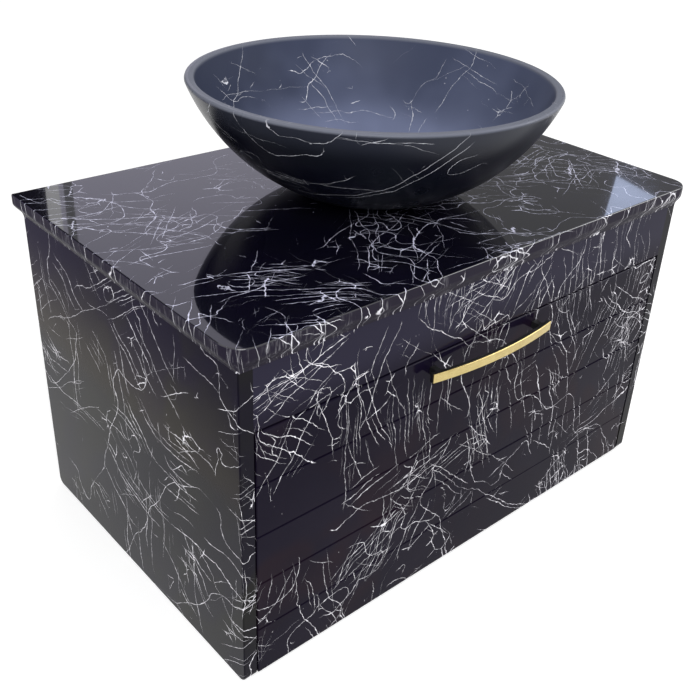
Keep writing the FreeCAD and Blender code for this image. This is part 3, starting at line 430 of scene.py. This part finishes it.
def veining(graph, here, along, up, look):
    # threads, a web, families of strands and specks, from 0 to 1
    bend, jag = graph.push(here, *look["bend"]), graph.push(here, *look["jag"])
    bent = graph.vector("ADD", graph.vector("ADD", here, bend), jag)
    other = graph.vector("ADD", here, graph.vector("CROSS_PRODUCT", bend, figure["otherBend"]))
    other = graph.vector("ADD", other, jag)
    run, rise = Vector((1.0, 0.0, 0.0)), Vector((0.0, 1.0, 0.0))
    if look["azimuth"] is not None:
        turn = math.radians(look["azimuth"])
        run, rise = Vector((-math.sin(turn), math.cos(turn), 0.0)), Vector((0.0, 0.0, 1.0))
    crowds = crowding(graph, here, look)
    overall = crowds[0]
    for crowd in crowds[1:]:
        overall = overall.orMore(crowd)
    patch = graph.noise(here, figure["patchScale"], 2.0, 0.55)
    beads = graph.noise(bent, figure["beadScale"], 1.0)
    breadth = graph.noise(bent, figure["breadthScale"], 1.0)
    half = graph.step(breadth, *figure["breadthRange"], *[look["half"] * share for share in figure["breadth"]])
    half = half * graph.step(overall, *figure["crowdedBreadth"]) * graph.step(beads, *figure["knotBreadth"])
    lines = []
    for number, (scale, level, share) in enumerate(look["threads"]):
        line = thread(graph, (bent, other)[number], along, up, (scale, level), half)
        lines.append(line * graph.step(patch + overall, share, share + figure["threadFade"]))
    scale, share = look["web"]
    edges = graph.add("ShaderNodeTexVoronoi", {"feature": "DISTANCE_TO_EDGE"}, {"Vector": other, "Scale": scale})
    torn = graph.noise(other, figure["webScale"], 1.0) + overall
    thinned = half * graph.step(torn, share, share + figure["webThins"]) + figure["hair"]
    lines.append(stroke(graph, edges / scale, thinned) * graph.step(torn, share, share + figure["webFade"]))
    for number, kind in enumerate(look["families"]):
        lines.append(strand(graph, (bent, other)[number % 2], (run, rise, along), kind, crowds[number], half, number))
    strongest = both = lines[0]
    for line in lines[1:]:
        strongest, both = strongest.orMore(line), both + line
    crossing = graph.step(both - strongest, *figure["crossing"]) * figure["crossingShine"]
    veins = strongest * graph.step(beads, *figure["beadShine"]) + crossing
    dots = graph.add("ShaderNodeTexVoronoi", {"feature": "F1"}, {"Vector": bent, "Scale": figure["dotScale"]})
    dot = graph.step(dots, *figure["dotSize"]) * graph.step(dots.output("Color"), *figure["dotShare"])
    veins = veins.orMore(dot * graph.step(patch, *figure["dotPatch"]) * look["specks"])
    return graph.add("ShaderNodeClamp", None, [veins, 0.0, 1.0])


def marbled(name):
    # a board's marble-effect film, or the basin's glaze in the same figure
    look = marble[name]
    material, graph, shader, place = surface("marble_" + name)
    x, y, z = graph.split(place)
    here, along, up, inside = onSheet(graph, place, name)
    veins = veining(graph, here, along, up, look)
    cloud = graph.step(graph.noise(here, figure["cloudScale"], 3.0, 0.6), *figure["cloud"])
    tint = graph.step(graph.noise(here, figure["tintScale"]), *figure["tint"])
    ground = graph.mix(cloud, look["dark"], graph.mix(tint, look["warm"], look["pale"]))
    sheen = graph.noise(place, figure["sheenScale"])
    roughness = graph.step(sheen, 0.3, 0.7, *[look["roughness"] * share for share in figure["sheen"]])
    height = graph.noise(place, figure["reliefScale"])
    seam = filmSheet["seam"]
    values = {"IOR": 1.45, "Specular IOR Level": look["specular"]}
    if name in ("front", "side"):
        # no veins show on the faces that are turned inwards
        outer = graph.step(abs(x), filmSheet["panelInside"] - seam, filmSheet["panelInside"])
        veins = veins * outer.orMore(graph.step(y, filmSheet["frontBack"], filmSheet["frontBack"] - seam))
    if name == "front":
        # painted light: from the fascia up the ground is lifted to a paler colour, against the shade under the
        # counter's overhang
        ground = graph.mix(graph.step(z, *look["fasciaFrom"]), ground, look["fascia"])
    if name == "basin":
        # painted light: the inside is a lit copy of the glaze, paler towards its floor and to the right, and a painted
        # reflection makes a paler band below the rim on the outside
        byDepth, byRight, byCloud = look["paintedLightBy"]
        light = graph.step(z, *look["paintedLightDown"]) * byDepth + graph.step(x, *look["paintedLightRight"]) * byRight
        light = light + (cloud - 0.5) * byCloud
        # painted reflection: a paler band on the outside below the rim
        ground = graph.mix(graph.step(z, *look["bandFrom"]), ground, look["band"])
        # painted light: the lit inside colours replace the ground inside the bowl
        ground = graph.mix(inside, ground, graph.mix(light, look["paintedLitInsideDark"], look["paintedLitInsidePale"]))
        roughness = roughness + inside * look["insideRoughness"]
        # painted highlight: a pale band along the top of the rim
        rim = graph.step(z, filmSheet["rimHeight"] - look["rimHighlightBand"], filmSheet["rimHeight"])
        ground = graph.mix(rim, ground, look["rim"])
        for number, (normal, distance, middle, reach) in enumerate(look["sweeps"]):
            shake = graph.noise(here, look["sweepScales"][number], 4.0, 0.6) - 0.5
            far = abs(graph.dot(place, normal) - distance + shake * look["sweepShake"])
            off = graph.length(graph.vector("SUBTRACT", place, middle))
            line = stroke(graph, far, look["half"] * look["sweepHalf"])
            veins = veins.orMore(line * graph.step(off, reach * 1.1, reach * 0.85))
        # the painted rim highlight hides most veins
        veins = veins * (1.0 - rim * look["rimHighlightHides"])
    colour = graph.mix(veins, ground, look["vein"])
    if name != "basin":
        fibres = graph.stretched(place, rawBoard["fibres"], 3.0, 0.7)
        board = graph.mix(graph.step(fibres, *rawBoard["tone"]), rawBoard["dark"], rawBoard["pale"])
        raw = graph.step(y, filmSheet["rawEdge"], filmSheet["rawEdge"] + rawBoard["fade"])
        colour = graph.mix(raw, colour, board)
        roughness = roughness + raw * rawBoard["roughness"]
        height = height + raw * fibres * rawBoard["relief"]
    if name == "counter":
        # the top has a coat, and the printed figure is smeared where the film bends over the edge
        comb = graph.stretched(place, look["combs"], 2.0, 0.6)
        tuft = graph.stretched(place, look["tufts"], 1.0)
        smear = graph.step(comb, *look["combed"]) * graph.step(tuft, *look["tufted"]) * look["smear"]
        top = graph.step(z, filmSheet["counterTop"] - filmSheet["topSeam"], filmSheet["counterTop"])
        values.update(look["coat"])
        values["Coat Weight"] = top
        roughness = roughness + (1.0 - top) * look["edgeRoughness"]
        below = (1.0 - top) * (1.0 - raw)
        # painted light: below the top the ground is the paler edge colour, lifting the shade under the nose
        colour = graph.mix(below, colour, graph.mix(veins * look["edgeVeins"], look["edge"], look["vein"]))
        colour = graph.mix(smear * below, colour, look["vein"])
    values.update({"Base Color": colour, "Roughness": roughness,
                   "Normal": graph.bump(height, figure["relief"], figure["reliefDepth"])})
    graph.fill(shader, values)
    return material


frontFilm = marbled("front")
sideFilm = marbled("side")
counterFilm = marbled("counter")
basinGlaze = marbled("basin")
print("marble finishes made")


plain = {
    # pebble is the grain's scale
    "cabinetBoard": {"dark": (0.011, 0.011, 0.012, 1), "pale": (0.020, 0.020, 0.022, 1), "roughness": 0.42,
                     "pebble": 900.0},
    "drawerBoard": {"dark": (0.26, 0.26, 0.27, 1), "pale": (0.36, 0.36, 0.37, 1), "roughness": 0.46,
                    "pebble": 1100.0},
    "rubber": {"dark": (0.016, 0.016, 0.017, 1), "pale": (0.032, 0.032, 0.033, 1), "roughness": 0.72,
               "pebble": 1400.0},
    "handleBlack": {"dark": (0.0045, 0.0045, 0.005, 1), "pale": (0.0085, 0.0085, 0.009, 1), "roughness": 0.34,
                    "pebble": 1600.0},
}


coat = {
    # what all the plain coats share, and the weave of the drawer's paper
    "cloudScale": 14.0, "cloudShare": 0.4, "tone": (0.32, 0.68), "sheen": (0.9, 1.12), "relief": 0.12,
    "reliefDepth": 0.0005, "coarse": 90.0, "fine": 1800.0, "weaveShare": 0.75, "weaveTone": (0.34, 0.64),
}


def pebbled(name, weave=False):
    # a fine-grained coat: board paper, rubber or paint, with faint clouds and a pebbled or woven surface
    look = plain[name]
    material, graph, shader, place = surface(name)
    cloud = graph.noise(place, coat["cloudScale"], 4.0, 0.6)
    grain = graph.noise(place, look["pebble"], 2.0, 0.6)
    share = coat["cloudShare"]
    tone = graph.step(cloud * share + grain * (1.0 - share), *coat["tone"])
    height = grain
    if weave:
        coarse, fine, share = coat["coarse"], coat["fine"], coat["weaveShare"]
        threads = [graph.stretched(place, sizes, 1.0) for sizes in (
            (coarse, fine, fine), (fine, coarse, fine), (fine, fine, coarse))]
        weft = (threads[0] + threads[1] + threads[2]) / 3.0
        tone = tone * (1.0 - share) + graph.step(weft, *coat["weaveTone"]) * share
        height = weft
    graph.fill(shader, {
        "Base Color": graph.mix(tone, look["dark"], look["pale"]),
        "Roughness": graph.step(cloud, 0.3, 0.7, *[look["roughness"] * share for share in coat["sheen"]]),
        "Normal": graph.bump(height, coat["relief"], coat["reliefDepth"])})
    return material


metal = {
    # lines is the scale of the drawn lines each way, spangle the scale of the crystals
    "zincSteel": {"dark": (0.36, 0.375, 0.40, 1), "pale": (0.58, 0.595, 0.62, 1), "roughness": 0.30,
                  "lines": (900.0, 22.0, 900.0), "spangle": 160.0},
    "screwSteel": {"dark": (0.34, 0.34, 0.34, 1), "pale": (0.56, 0.56, 0.55, 1), "roughness": 0.28,
                   "lines": (900.0, 900.0, 900.0), "spangle": 700.0},
    "chromedBrass": {"dark": (0.60, 0.61, 0.63, 1), "pale": (0.74, 0.75, 0.77, 1), "roughness": 0.07,
                     "lines": (500.0, 500.0, 60.0), "spangle": 60.0},
    "handleBrass": {"dark": (0.46, 0.36, 0.145, 1), "pale": (0.58, 0.47, 0.21, 1), "roughness": 0.28,
                    "lines": (26.0, 1500.0, 1500.0), "spangle": 90.0},
}


drawn = {
    # what all the metals share: how much lines, crystals and haze each count
    "hazeScale": 30.0, "shares": (0.55, 0.2, 0.25), "tone": (0.33, 0.66), "sheen": (0.8, 1.25),
    "relief": 0.10, "reliefDepth": 0.0003,
}


def metallic(name):
    # drawn or plated metal: fine lines one way, a soft spangle and small changes of shine
    look = metal[name]
    material, graph, shader, place = surface(name)
    lines = graph.stretched(place, look["lines"], 3.0, 0.65)
    flakes = graph.add("ShaderNodeTexVoronoi", {"feature": "F1"}, {"Vector": place, "Scale": look["spangle"]})
    flake = graph.dot(flakes.output("Color"), (0.33, 0.33, 0.34))
    haze = graph.noise(place, drawn["hazeScale"], 3.0)
    byLines, byFlake, byHaze = drawn["shares"]
    tone = graph.step(lines * byLines + flake * byFlake + haze * byHaze, *drawn["tone"])
    sheen = [look["roughness"] * share for share in drawn["sheen"]]
    graph.fill(shader, {
        "Metallic": 1.0,
        "Base Color": graph.mix(tone, look["dark"], look["pale"]),
        "Roughness": graph.step(lines * 0.6 + haze * 0.4, 0.3, 0.7, *sheen),
        "Normal": graph.bump(lines, drawn["relief"], drawn["reliefDepth"])})
    return material


dowelWood = {
    "dark": (0.46, 0.29, 0.155, 1), "pale": (0.62, 0.43, 0.26, 1), "fleck": (0.26, 0.14, 0.07, 1),
    "grain": (60.0, 700.0, 700.0), "flecks": (260.0, 2400.0, 2400.0), "roughness": (0.5, 0.64),
}


def beechGrain(look):
    # turned beech: grain along the dowel, with short dark flecks
    material, graph, shader, place = surface("beech")
    grain = graph.stretched(place, look["grain"], 4.0, 0.6)
    fleck = graph.stretched(place, look["flecks"], 1.0)
    tone = graph.mix(graph.step(grain, 0.35, 0.65), look["dark"], look["pale"])
    graph.fill(shader, {
        "Base Color": graph.mix(graph.step(fleck, 0.62, 0.70) * 0.6, tone, look["fleck"]),
        "Roughness": graph.step(grain, 0.3, 0.7, *look["roughness"]),
        "Normal": graph.bump(grain, 0.15, 0.0004)})
    return material


cabinetBoard = pebbled("cabinetBoard")
drawerBoard = pebbled("drawerBoard", weave=True)
rubber = pebbled("rubber")
handleBlack = pebbled("handleBlack")
zincSteel = metallic("zincSteel")
screwSteel = metallic("screwSteel")
chromedBrass = metallic("chromedBrass")
handleBrass = metallic("handleBrass")
beech = beechGrain(dowelWood)
print("boards and metals made")


def paint(material, *names):
    for name in names:
        mesh = nodes[name].data
        mesh.materials.clear()
        mesh.materials.append(material)


paint(frontFilm, "fascia_rail", "drawer_front")
paint(sideFilm, "side_panel_left", "side_panel_right")
paint(counterFilm, "countertop")
paint(cabinetBoard, "floor_panel", "front_stretcher", "rear_stretcher", "back_rail_upper", "back_rail_lower")
paint(drawerBoard, "drawer_inner_front", "drawer_side_left", "drawer_side_right", "drawer_back_left",
      "drawer_back_right", "pipe_bay_left", "pipe_bay_right", "pipe_bay_front", "drawer_base")
paint(beech, "carcass_dowels")
paint(rubber, "basin_seal", "flange_seal", "waste_washer", "bumper_pads")
paint(chromedBrass, "waste_body", "waste_backnut", "waste_plug")
paint(handleBlack, "handle_bow")
paint(handleBrass, "handle_face")
for side in ("left", "right"):
    paint(zincSteel, *[f"runner_{side}_{part}" for part in ("outer", "middle", "inner")])
    paint(zincSteel, f"ball_cage_{side}_outer", f"ball_cage_{side}_inner")
print("nodes painted")


mergeWithin = 1e-6


def shapeTree(name, inputs):
    # an empty Geometry Nodes tree with named inputs: the graph, its input node and the identifiers
    tree = bpy.data.node_groups.new(name, "GeometryNodeTree")
    tree.interface.new_socket("Geometry", in_out="INPUT", socket_type="NodeSocketGeometry")
    keys = {label: tree.interface.new_socket(label, in_out="INPUT", socket_type=kind).identifier
            for label, kind in inputs.items()}
    tree.interface.new_socket("Geometry", in_out="OUTPUT", socket_type="NodeSocketGeometry")
    graph = Graph(tree)
    return graph, graph.add("NodeGroupInput"), keys


def finishTree(graph, shape, material):
    whole = graph.add("GeometryNodeRealizeInstances", None, {"Geometry": shape})
    graph.add("NodeGroupOutput", None, [graph.add("GeometryNodeSetMaterial", None, {
        "Geometry": whole, "Material": material})])


def grown(name, start, graph, keys, values, body, replaced):
    # runs a tree on a starting mesh and keeps the result as a plain mesh on its CAD body
    source = bpy.data.objects.new(name + "_start", start)
    bpy.context.scene.collection.objects.link(source)
    modifier = source.modifiers.new("shape", "NODES")
    modifier.node_group = graph.tree
    for label, value in values.items():
        modifier[keys[label]] = value
    mesh = bpy.data.meshes.new_from_object(source.evaluated_get(bpy.context.evaluated_depsgraph_get()))
    source.modifiers.remove(modifier)
    bpy.data.objects.remove(source)
    work = bmesh.new()
    work.from_mesh(mesh)
    bmesh.ops.remove_doubles(work, verts=work.verts, dist=mergeWithin)
    bmesh.ops.recalc_face_normals(work, faces=work.faces)
    work.to_mesh(mesh)
    work.free()
    mesh.name = name
    made = bpy.data.objects.new(name, mesh)
    bpy.context.scene.collection.objects.link(made)
    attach(made, body)
    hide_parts(replaced)
    return made


bowl = {
    "axisY": 0.0105, "footHeight": 0.397, "rimRadius": 0.206, "height": 0.128, "wall": 0.010, "footRadius": 0.063,
    "bulge": 0.023, "rimRound": 0.0025, "rimSteps": 6, "rimClear": 0.0002, "floorHeight": 0.015, "hub": 0.001,
    "drain": [(0.034, 0.013), (0.034, 0.010), (0.0225, 0.010), (0.0225, 0.0)], "around": 192, "steps": 72,
    "sharpFrom": 50,
}


def rounded(before, corner, after, radius, steps):
    # a corner of a profile with a round of one radius
    first, last = (before - corner).normalized(), (after - corner).normalized()
    half = first.angle(last) / 2
    centre = corner + (first + last).normalized() * (radius / math.sin(half))
    start, end = [corner + way * (radius / math.tan(half)) - centre for way in (first, last)]
    return [centre + start.lerp(end, share / steps).normalized() * radius for share in range(steps + 1)]


def bowlProfile(look):
    # two arcs about one centre, a wall apart, with a rounded rim, a flat foot and the drain's recess
    rim, foot = Vector((look["rimRadius"], look["height"])), Vector((look["footRadius"], 0.0))
    chord = rim - foot
    outer = (chord.length_squared / 4 + look["bulge"] ** 2) / (look["bulge"] * 2)
    centre = (rim + foot) / 2 + Vector((-chord.y, chord.x)).normalized() * (outer - look["bulge"])
    inner = outer - look["wall"]

    def onArc(radius, low, high):
        start, end = [math.asin((height - centre.y) / radius) for height in (low, high)]
        return [centre + radius * Vector((math.cos(turn), math.sin(turn))) for turn in (
            start + (end - start) * i / look["steps"] for i in range(look["steps"] + 1))]

    outside = onArc(outer, 0.0, look["height"])
    inside = onArc(inner, look["height"], look["floorHeight"])
    lips = [rounded(*corner, look["rimRound"], look["rimSteps"]) for corner in (
        (outside[-3], outside[-1], inside[0]), (outside[-1], inside[0], inside[2]))]
    outside = [p for p in outside if p.y < lips[0][0].y - look["rimClear"]]
    inside = [p for p in inside if p.y < lips[1][-1].y - look["rimClear"]]
    return outside + lips[0] + lips[1] + inside + [Vector(p) for p in look["drain"]]


def turnedBowl(look):
    # the profile is carried round a small hub circle, then set on the counter
    graph, given, keys = shapeTree("basin lathe", {"Around": "NodeSocketInt", "Hub Radius": "NodeSocketFloat"})
    profile = graph.add("GeometryNodeMeshToCurve", None, [given])
    hub = graph.add("GeometryNodeCurvePrimitiveCircle", None, {
        "Resolution": given.output("Around"), "Radius": given.output("Hub Radius")})
    shell = graph.add("GeometryNodeCurveToMesh", None, {"Curve": hub, "Profile Curve": profile})
    finishTree(graph, graph.add("GeometryNodeSetShadeSmooth", None, {"Geometry": shell}), basinGlaze)
    points = bowlProfile(look)
    start = bpy.data.meshes.new("bowl_profile")
    start.from_pydata([(point.x - look["hub"], -point.y, 0.0) for point in points], [
        (i, (i + 1) % len(points)) for i in range(len(points))], [])
    made = grown("basin_bowl_turned", start, graph, keys, {"Around": look["around"], "Hub Radius": look["hub"]},
                 "carcass", "basin_bowl")
    made.data.transform(Matrix.Translation((0.0, look["axisY"], look["footHeight"])))
    made.data.set_sharp_from_angle(angle=math.radians(look["sharpFrom"]))
    return made


basin = turnedBowl(bowl)
print("bowl turned:", len(basin.data.vertices), "points")


screwHead = {
    "recessWidth": 0.00075, "recessSpan": 0.0042, "recessDepth": 0.0013, "around": 20, "sharpFrom": 30,
    # a head whose widest ring is at its face is countersunk
    "flatBelow": 0.0005, "flatHeight": 0.0018,
    "sets": {"counter_screws": "carcass", "drawer_front_screws": "drawer", "drawer_box_screws": "drawer",
             "handle_screws": "drawer", "runner_cabinet_screws": "carcass", "runner_drawer_screws": "drawer"},
}


def looseParts(mesh):
    # the corners of each separate screw in a node
    work = bmesh.new()
    work.from_mesh(mesh)
    bmesh.ops.remove_doubles(work, verts=work.verts, dist=mergeWithin)
    waiting = set(work.verts)
    parts = []
    while waiting:
        found = [waiting.pop()]
        for vertex in found:
            for edge in vertex.link_edges:
                other = edge.other_vert(vertex)
                if other in waiting:
                    waiting.remove(other)
                    found.append(other)
        parts.append([vertex.co.copy() for vertex in found])
    work.free()
    return parts


def readScrew(points):
    # where the head's face is, which way the screw goes, and its sizes
    low = Vector([min(p[i] for p in points) for i in range(3)])
    high = Vector([max(p[i] for p in points) for i in range(3)])
    axis = max(range(3), key=lambda i: high[i] - low[i])
    middle = (low + high) / 2
    length = high[axis] - low[axis]

    def fromAxis(p):
        return math.hypot(*[p[i] - middle[i] for i in range(3) if i != axis])

    def spread(start, end):
        # the widest radius between two shares of the length from the low end
        return max((fromAxis(p) for p in points if start <= (p[axis] - low[axis]) / length <= end), default=0.0)

    headLow = spread(0.0, 0.02) > spread(0.98, 1.0)
    face = middle.copy()
    face[axis] = low[axis] if headLow else high[axis]
    way = Vector((0.0, 0.0, 0.0))
    way[axis] = 1.0 if headLow else -1.0
    radius = spread(0.0, 1.0)
    shank = spread(0.6, 1.0) if headLow else spread(0.0, 0.4)
    headDepth = max(abs(p[axis] - face[axis]) for p in points if fromAxis(p) > radius * 0.98)
    return {"face": face, "way": way, "length": length, "radius": radius, "shank": shank, "headDepth": headDepth}


def screwTree(look):
    # one screw with a cross recess, copied to every point that the starting mesh gives
    sizes = ("Head Radius", "Head Height", "Under Radius", "Shank Radius", "Length")
    graph, given, keys = shapeTree("cross-head screws", {
        **{label: "NodeSocketFloat" for label in sizes}, "Sides": "NodeSocketInt"})
    top, height, under, shank, length = [given.output(label) for label in sizes]
    sides = given.output("Sides")
    head = graph.add("GeometryNodeMeshCone", None, {
        "Vertices": sides, "Radius Top": under, "Radius Bottom": top, "Depth": height})
    span, width, depth = look["recessSpan"], look["recessWidth"], look["recessDepth"] * 2
    for size in ((span, width, depth), (width, span, depth)):
        arm = graph.add("GeometryNodeMeshCube", None, {"Size": size})
        head = graph.add("GeometryNodeMeshBoolean", {"operation": "DIFFERENCE", "solver": "EXACT"}, {0: head, 1: arm})
    stem = graph.add("GeometryNodeMeshCylinder", None, {
        "Vertices": sides, "Radius": shank, "Depth": length - height})
    stem = graph.add("GeometryNodeTransform", None, {
        "Geometry": stem, "Translation": graph.point(0.0, 0.0, (length + height) / 2.0)})
    screw = graph.add("GeometryNodeJoinGeometry")
    for part in (head, stem):
        graph.tree.links.new(part.socket, screw.socket.node.inputs[0])
    way = graph.add("GeometryNodeInputNamedAttribute", {"data_type": "FLOAT_VECTOR"}, {"Name": "way"})
    turn = graph.add("FunctionNodeAlignRotationToVector", {"axis": "Z"}, {"Vector": way})
    spread = graph.add("GeometryNodeInstanceOnPoints", None, {"Points": given, "Instance": screw, "Rotation": turn})
    finishTree(graph, spread, screwSteel)
    return graph, keys


def setScrews(look):
    graph, keys = screwTree(look)
    for nodeName, body in look["sets"].items():
        screws = [readScrew(part) for part in looseParts(nodes[nodeName].data)]
        start = bpy.data.meshes.new(nodeName + "_places")
        start.from_pydata([screw["face"] for screw in screws], [], [])
        ways = start.attributes.new("way", "FLOAT_VECTOR", "POINT")
        ways.data.foreach_set("vector", [part for screw in screws for part in screw["way"]])
        first = screws[0]
        flat = first["headDepth"] < look["flatBelow"]
        made = grown(nodeName + "_cut", start, graph, keys, {
            "Head Radius": first["radius"], "Head Height": look["flatHeight"] if flat else first["headDepth"],
            "Under Radius": first["shank"] if flat else first["radius"], "Shank Radius": first["shank"],
            "Length": first["length"], "Sides": look["around"]}, body, nodeName)
        made.data.set_sharp_from_angle(angle=math.radians(look["sharpFrom"]))
        print("screws set:", nodeName, len(screws))


setScrews(screwHead)


studio = {
    "worldDiffuse": 0.55,
    # the lamps reach only the near floor, so the far floor is lifted more
    "floor": {"size": 30.0, "drop": 0.0004, "colour": 0.8, "nearLift": 0.42, "farLift": 0.60, "lifted": (0.9, 3.6)},
    # where each lamp is, its size and its power
    "lamps": {"key_softbox": ((-1.6, -1.9, 2.3), 1.6, 62.0), "fill_softbox": ((2.2, -1.4, 1.8), 1.4, 24.0)},
    "lampAim": (0.0, 0.0, 0.25),
    # cards that only reflections meet: corners, then the light's colour low down and high up
    "cards": {
        "dark_card_left": ([(-1.6, 2.0, 0.5), (0.44, 2.0, 0.5), (0.44, 2.0, 2.6), (-1.6, 2.0, 2.6)],
                           grey(0.02), grey(0.02)),
        "dark_card_strip": ([(0.50, 2.0, 0.5), (0.53, 2.0, 0.5), (0.53, 2.0, 2.6), (0.50, 2.0, 2.6)],
                            grey(0.25), grey(0.25)),
        "dark_card_right": ([(2.2, 2.1, 0.3), (6.5, 2.1, 0.3), (6.5, 2.1, 4.0), (2.2, 2.1, 4.0)],
                            grey(0.24), grey(0.24)),
        "window_card": ([(3.70, 2.0, 1.76), (3.64, 2.0, 2.06), (4.18, 2.0, 2.06), (4.18, 2.0, 2.0)],
                        (1.45, 1.65, 2.20, 1), (1.45, 1.65, 2.20, 1)),
        "sky_card": ([(0.57, 2.2, 0.3), (2.2, 2.2, 0.3), (2.2, 2.2, 4.0), (0.57, 2.2, 4.0)],
                     (0.70, 0.68, 0.80, 1), (0.70, 0.68, 0.80, 1)),
        "side_card": ([(-0.47, -1.2, 0.004), (-0.47, 1.2, 0.004), (-0.47, 1.2, 0.5), (-0.47, -1.2, 0.5)],
                      (1.20, 1.13, 1.03, 1), (0.46, 0.42, 0.62, 1)),
    },
    "cardFade": 0.2,
    "camera": {
        "place": (-0.69205, -0.73952, 0.78510), "lens": 48.23, "sensor": 36.0, "shift": (-0.0296, -0.0415),
        "clipStart": 0.01, "right": (0.746026, -0.664074, 0.049506), "up": (0.289623, 0.390509, 0.873854),
        "back": (-0.599636, -0.637580, 0.483661),
    },
}


def seenByCamera(graph):
    # camera, glossy and transmission rays all meet the white surroundings
    rays = graph.add("ShaderNodeLightPath", None, (), "Is Camera Ray")
    return rays.orMore(rays.output("Is Glossy Ray")).orMore(rays.output("Is Transmission Ray"))


def sheet(name, corners):
    # a flat face with an empty material of the same name
    mesh = bpy.data.meshes.new(name)
    mesh.from_pydata(corners, [], [tuple(range(len(corners)))])
    flat = bpy.data.objects.new(name, mesh)
    bpy.context.scene.collection.objects.link(flat)
    material, graph = emptyMaterial(name)
    mesh.materials.append(material)
    return flat, graph, graph.add("ShaderNodeTexCoord", None, (), "Object")


def makeWorld(look):
    world = bpy.data.worlds.new("white_surroundings")
    bpy.context.scene.world = world
    world.use_nodes = True
    graph = Graph(world.node_tree)
    light = graph.add("ShaderNodeBackground", None, {"Color": grey(1.0), "Strength": look["worldDiffuse"]})
    white = graph.add("ShaderNodeBackground", None, {"Color": grey(1.0), "Strength": 1.0})
    graph.add("ShaderNodeOutputWorld", None, [
        graph.add("ShaderNodeMixShader", None, [seenByCamera(graph), light, white])])


def makeFloor(look):
    half, low = look["size"] / 2, -look["drop"]
    floor, graph, place = sheet("studio_floor", [
        (-half, -half, low), (half, -half, low), (half, half, low), (-half, half, low)])
    matt = graph.add("ShaderNodeBsdfDiffuse", None, {"Color": grey(look["colour"])})
    level = graph.step(graph.length(place), *look["lifted"], look["nearLift"], look["farLift"])
    lift = graph.add("ShaderNodeEmission", None, {"Color": grey(1.0), "Strength": seenByCamera(graph) * level})
    graph.add("ShaderNodeOutputMaterial", None, [graph.add("ShaderNodeAddShader", None, [matt, lift])])


def makeCards(look):
    for name, (corners, low, high) in look["cards"].items():
        card, graph, place = sheet(name, corners)
        card.visible_camera = card.visible_diffuse = card.visible_shadow = False
        height, foot = graph.split(place)[2], corners[0][2]
        colour = graph.mix(graph.step(height, foot, foot + look["cardFade"]), low, high)
        graph.add("ShaderNodeOutputMaterial", None, [graph.add("ShaderNodeEmission", None, {
            "Color": colour, "Strength": 1.0})])


def makeLamps(look):
    for name, (place, size, power) in look["lamps"].items():
        lamp = bpy.data.lights.new(name, "AREA")
        lamp.shape = "DISK"
        lamp.size = size
        lamp.energy = power
        rig = bpy.data.objects.new(name, lamp)
        rig.location = place
        rig.rotation_euler = (Vector(look["lampAim"]) - Vector(place)).to_track_quat("-Z", "Y").to_euler()
        bpy.context.scene.collection.objects.link(rig)


def makeCamera(look):
    camera = bpy.data.cameras.new("camera")
    camera.lens = look["lens"]
    camera.sensor_width = look["sensor"]
    camera.shift_x, camera.shift_y = look["shift"]
    camera.clip_start = look["clipStart"]
    seat = bpy.data.objects.new("camera", camera)
    axes = Matrix((look["right"], look["up"], look["back"])).transposed()
    seat.matrix_world = Matrix.Translation(look["place"]) @ axes.to_4x4()
    bpy.context.scene.collection.objects.link(seat)
    bpy.context.scene.camera = seat


makeWorld(studio)
makeFloor(studio["floor"])
makeCards(studio)
makeLamps(studio)
makeCamera(studio["camera"])
bpy.context.scene.view_settings.view_transform = "Standard"
print("studio made")
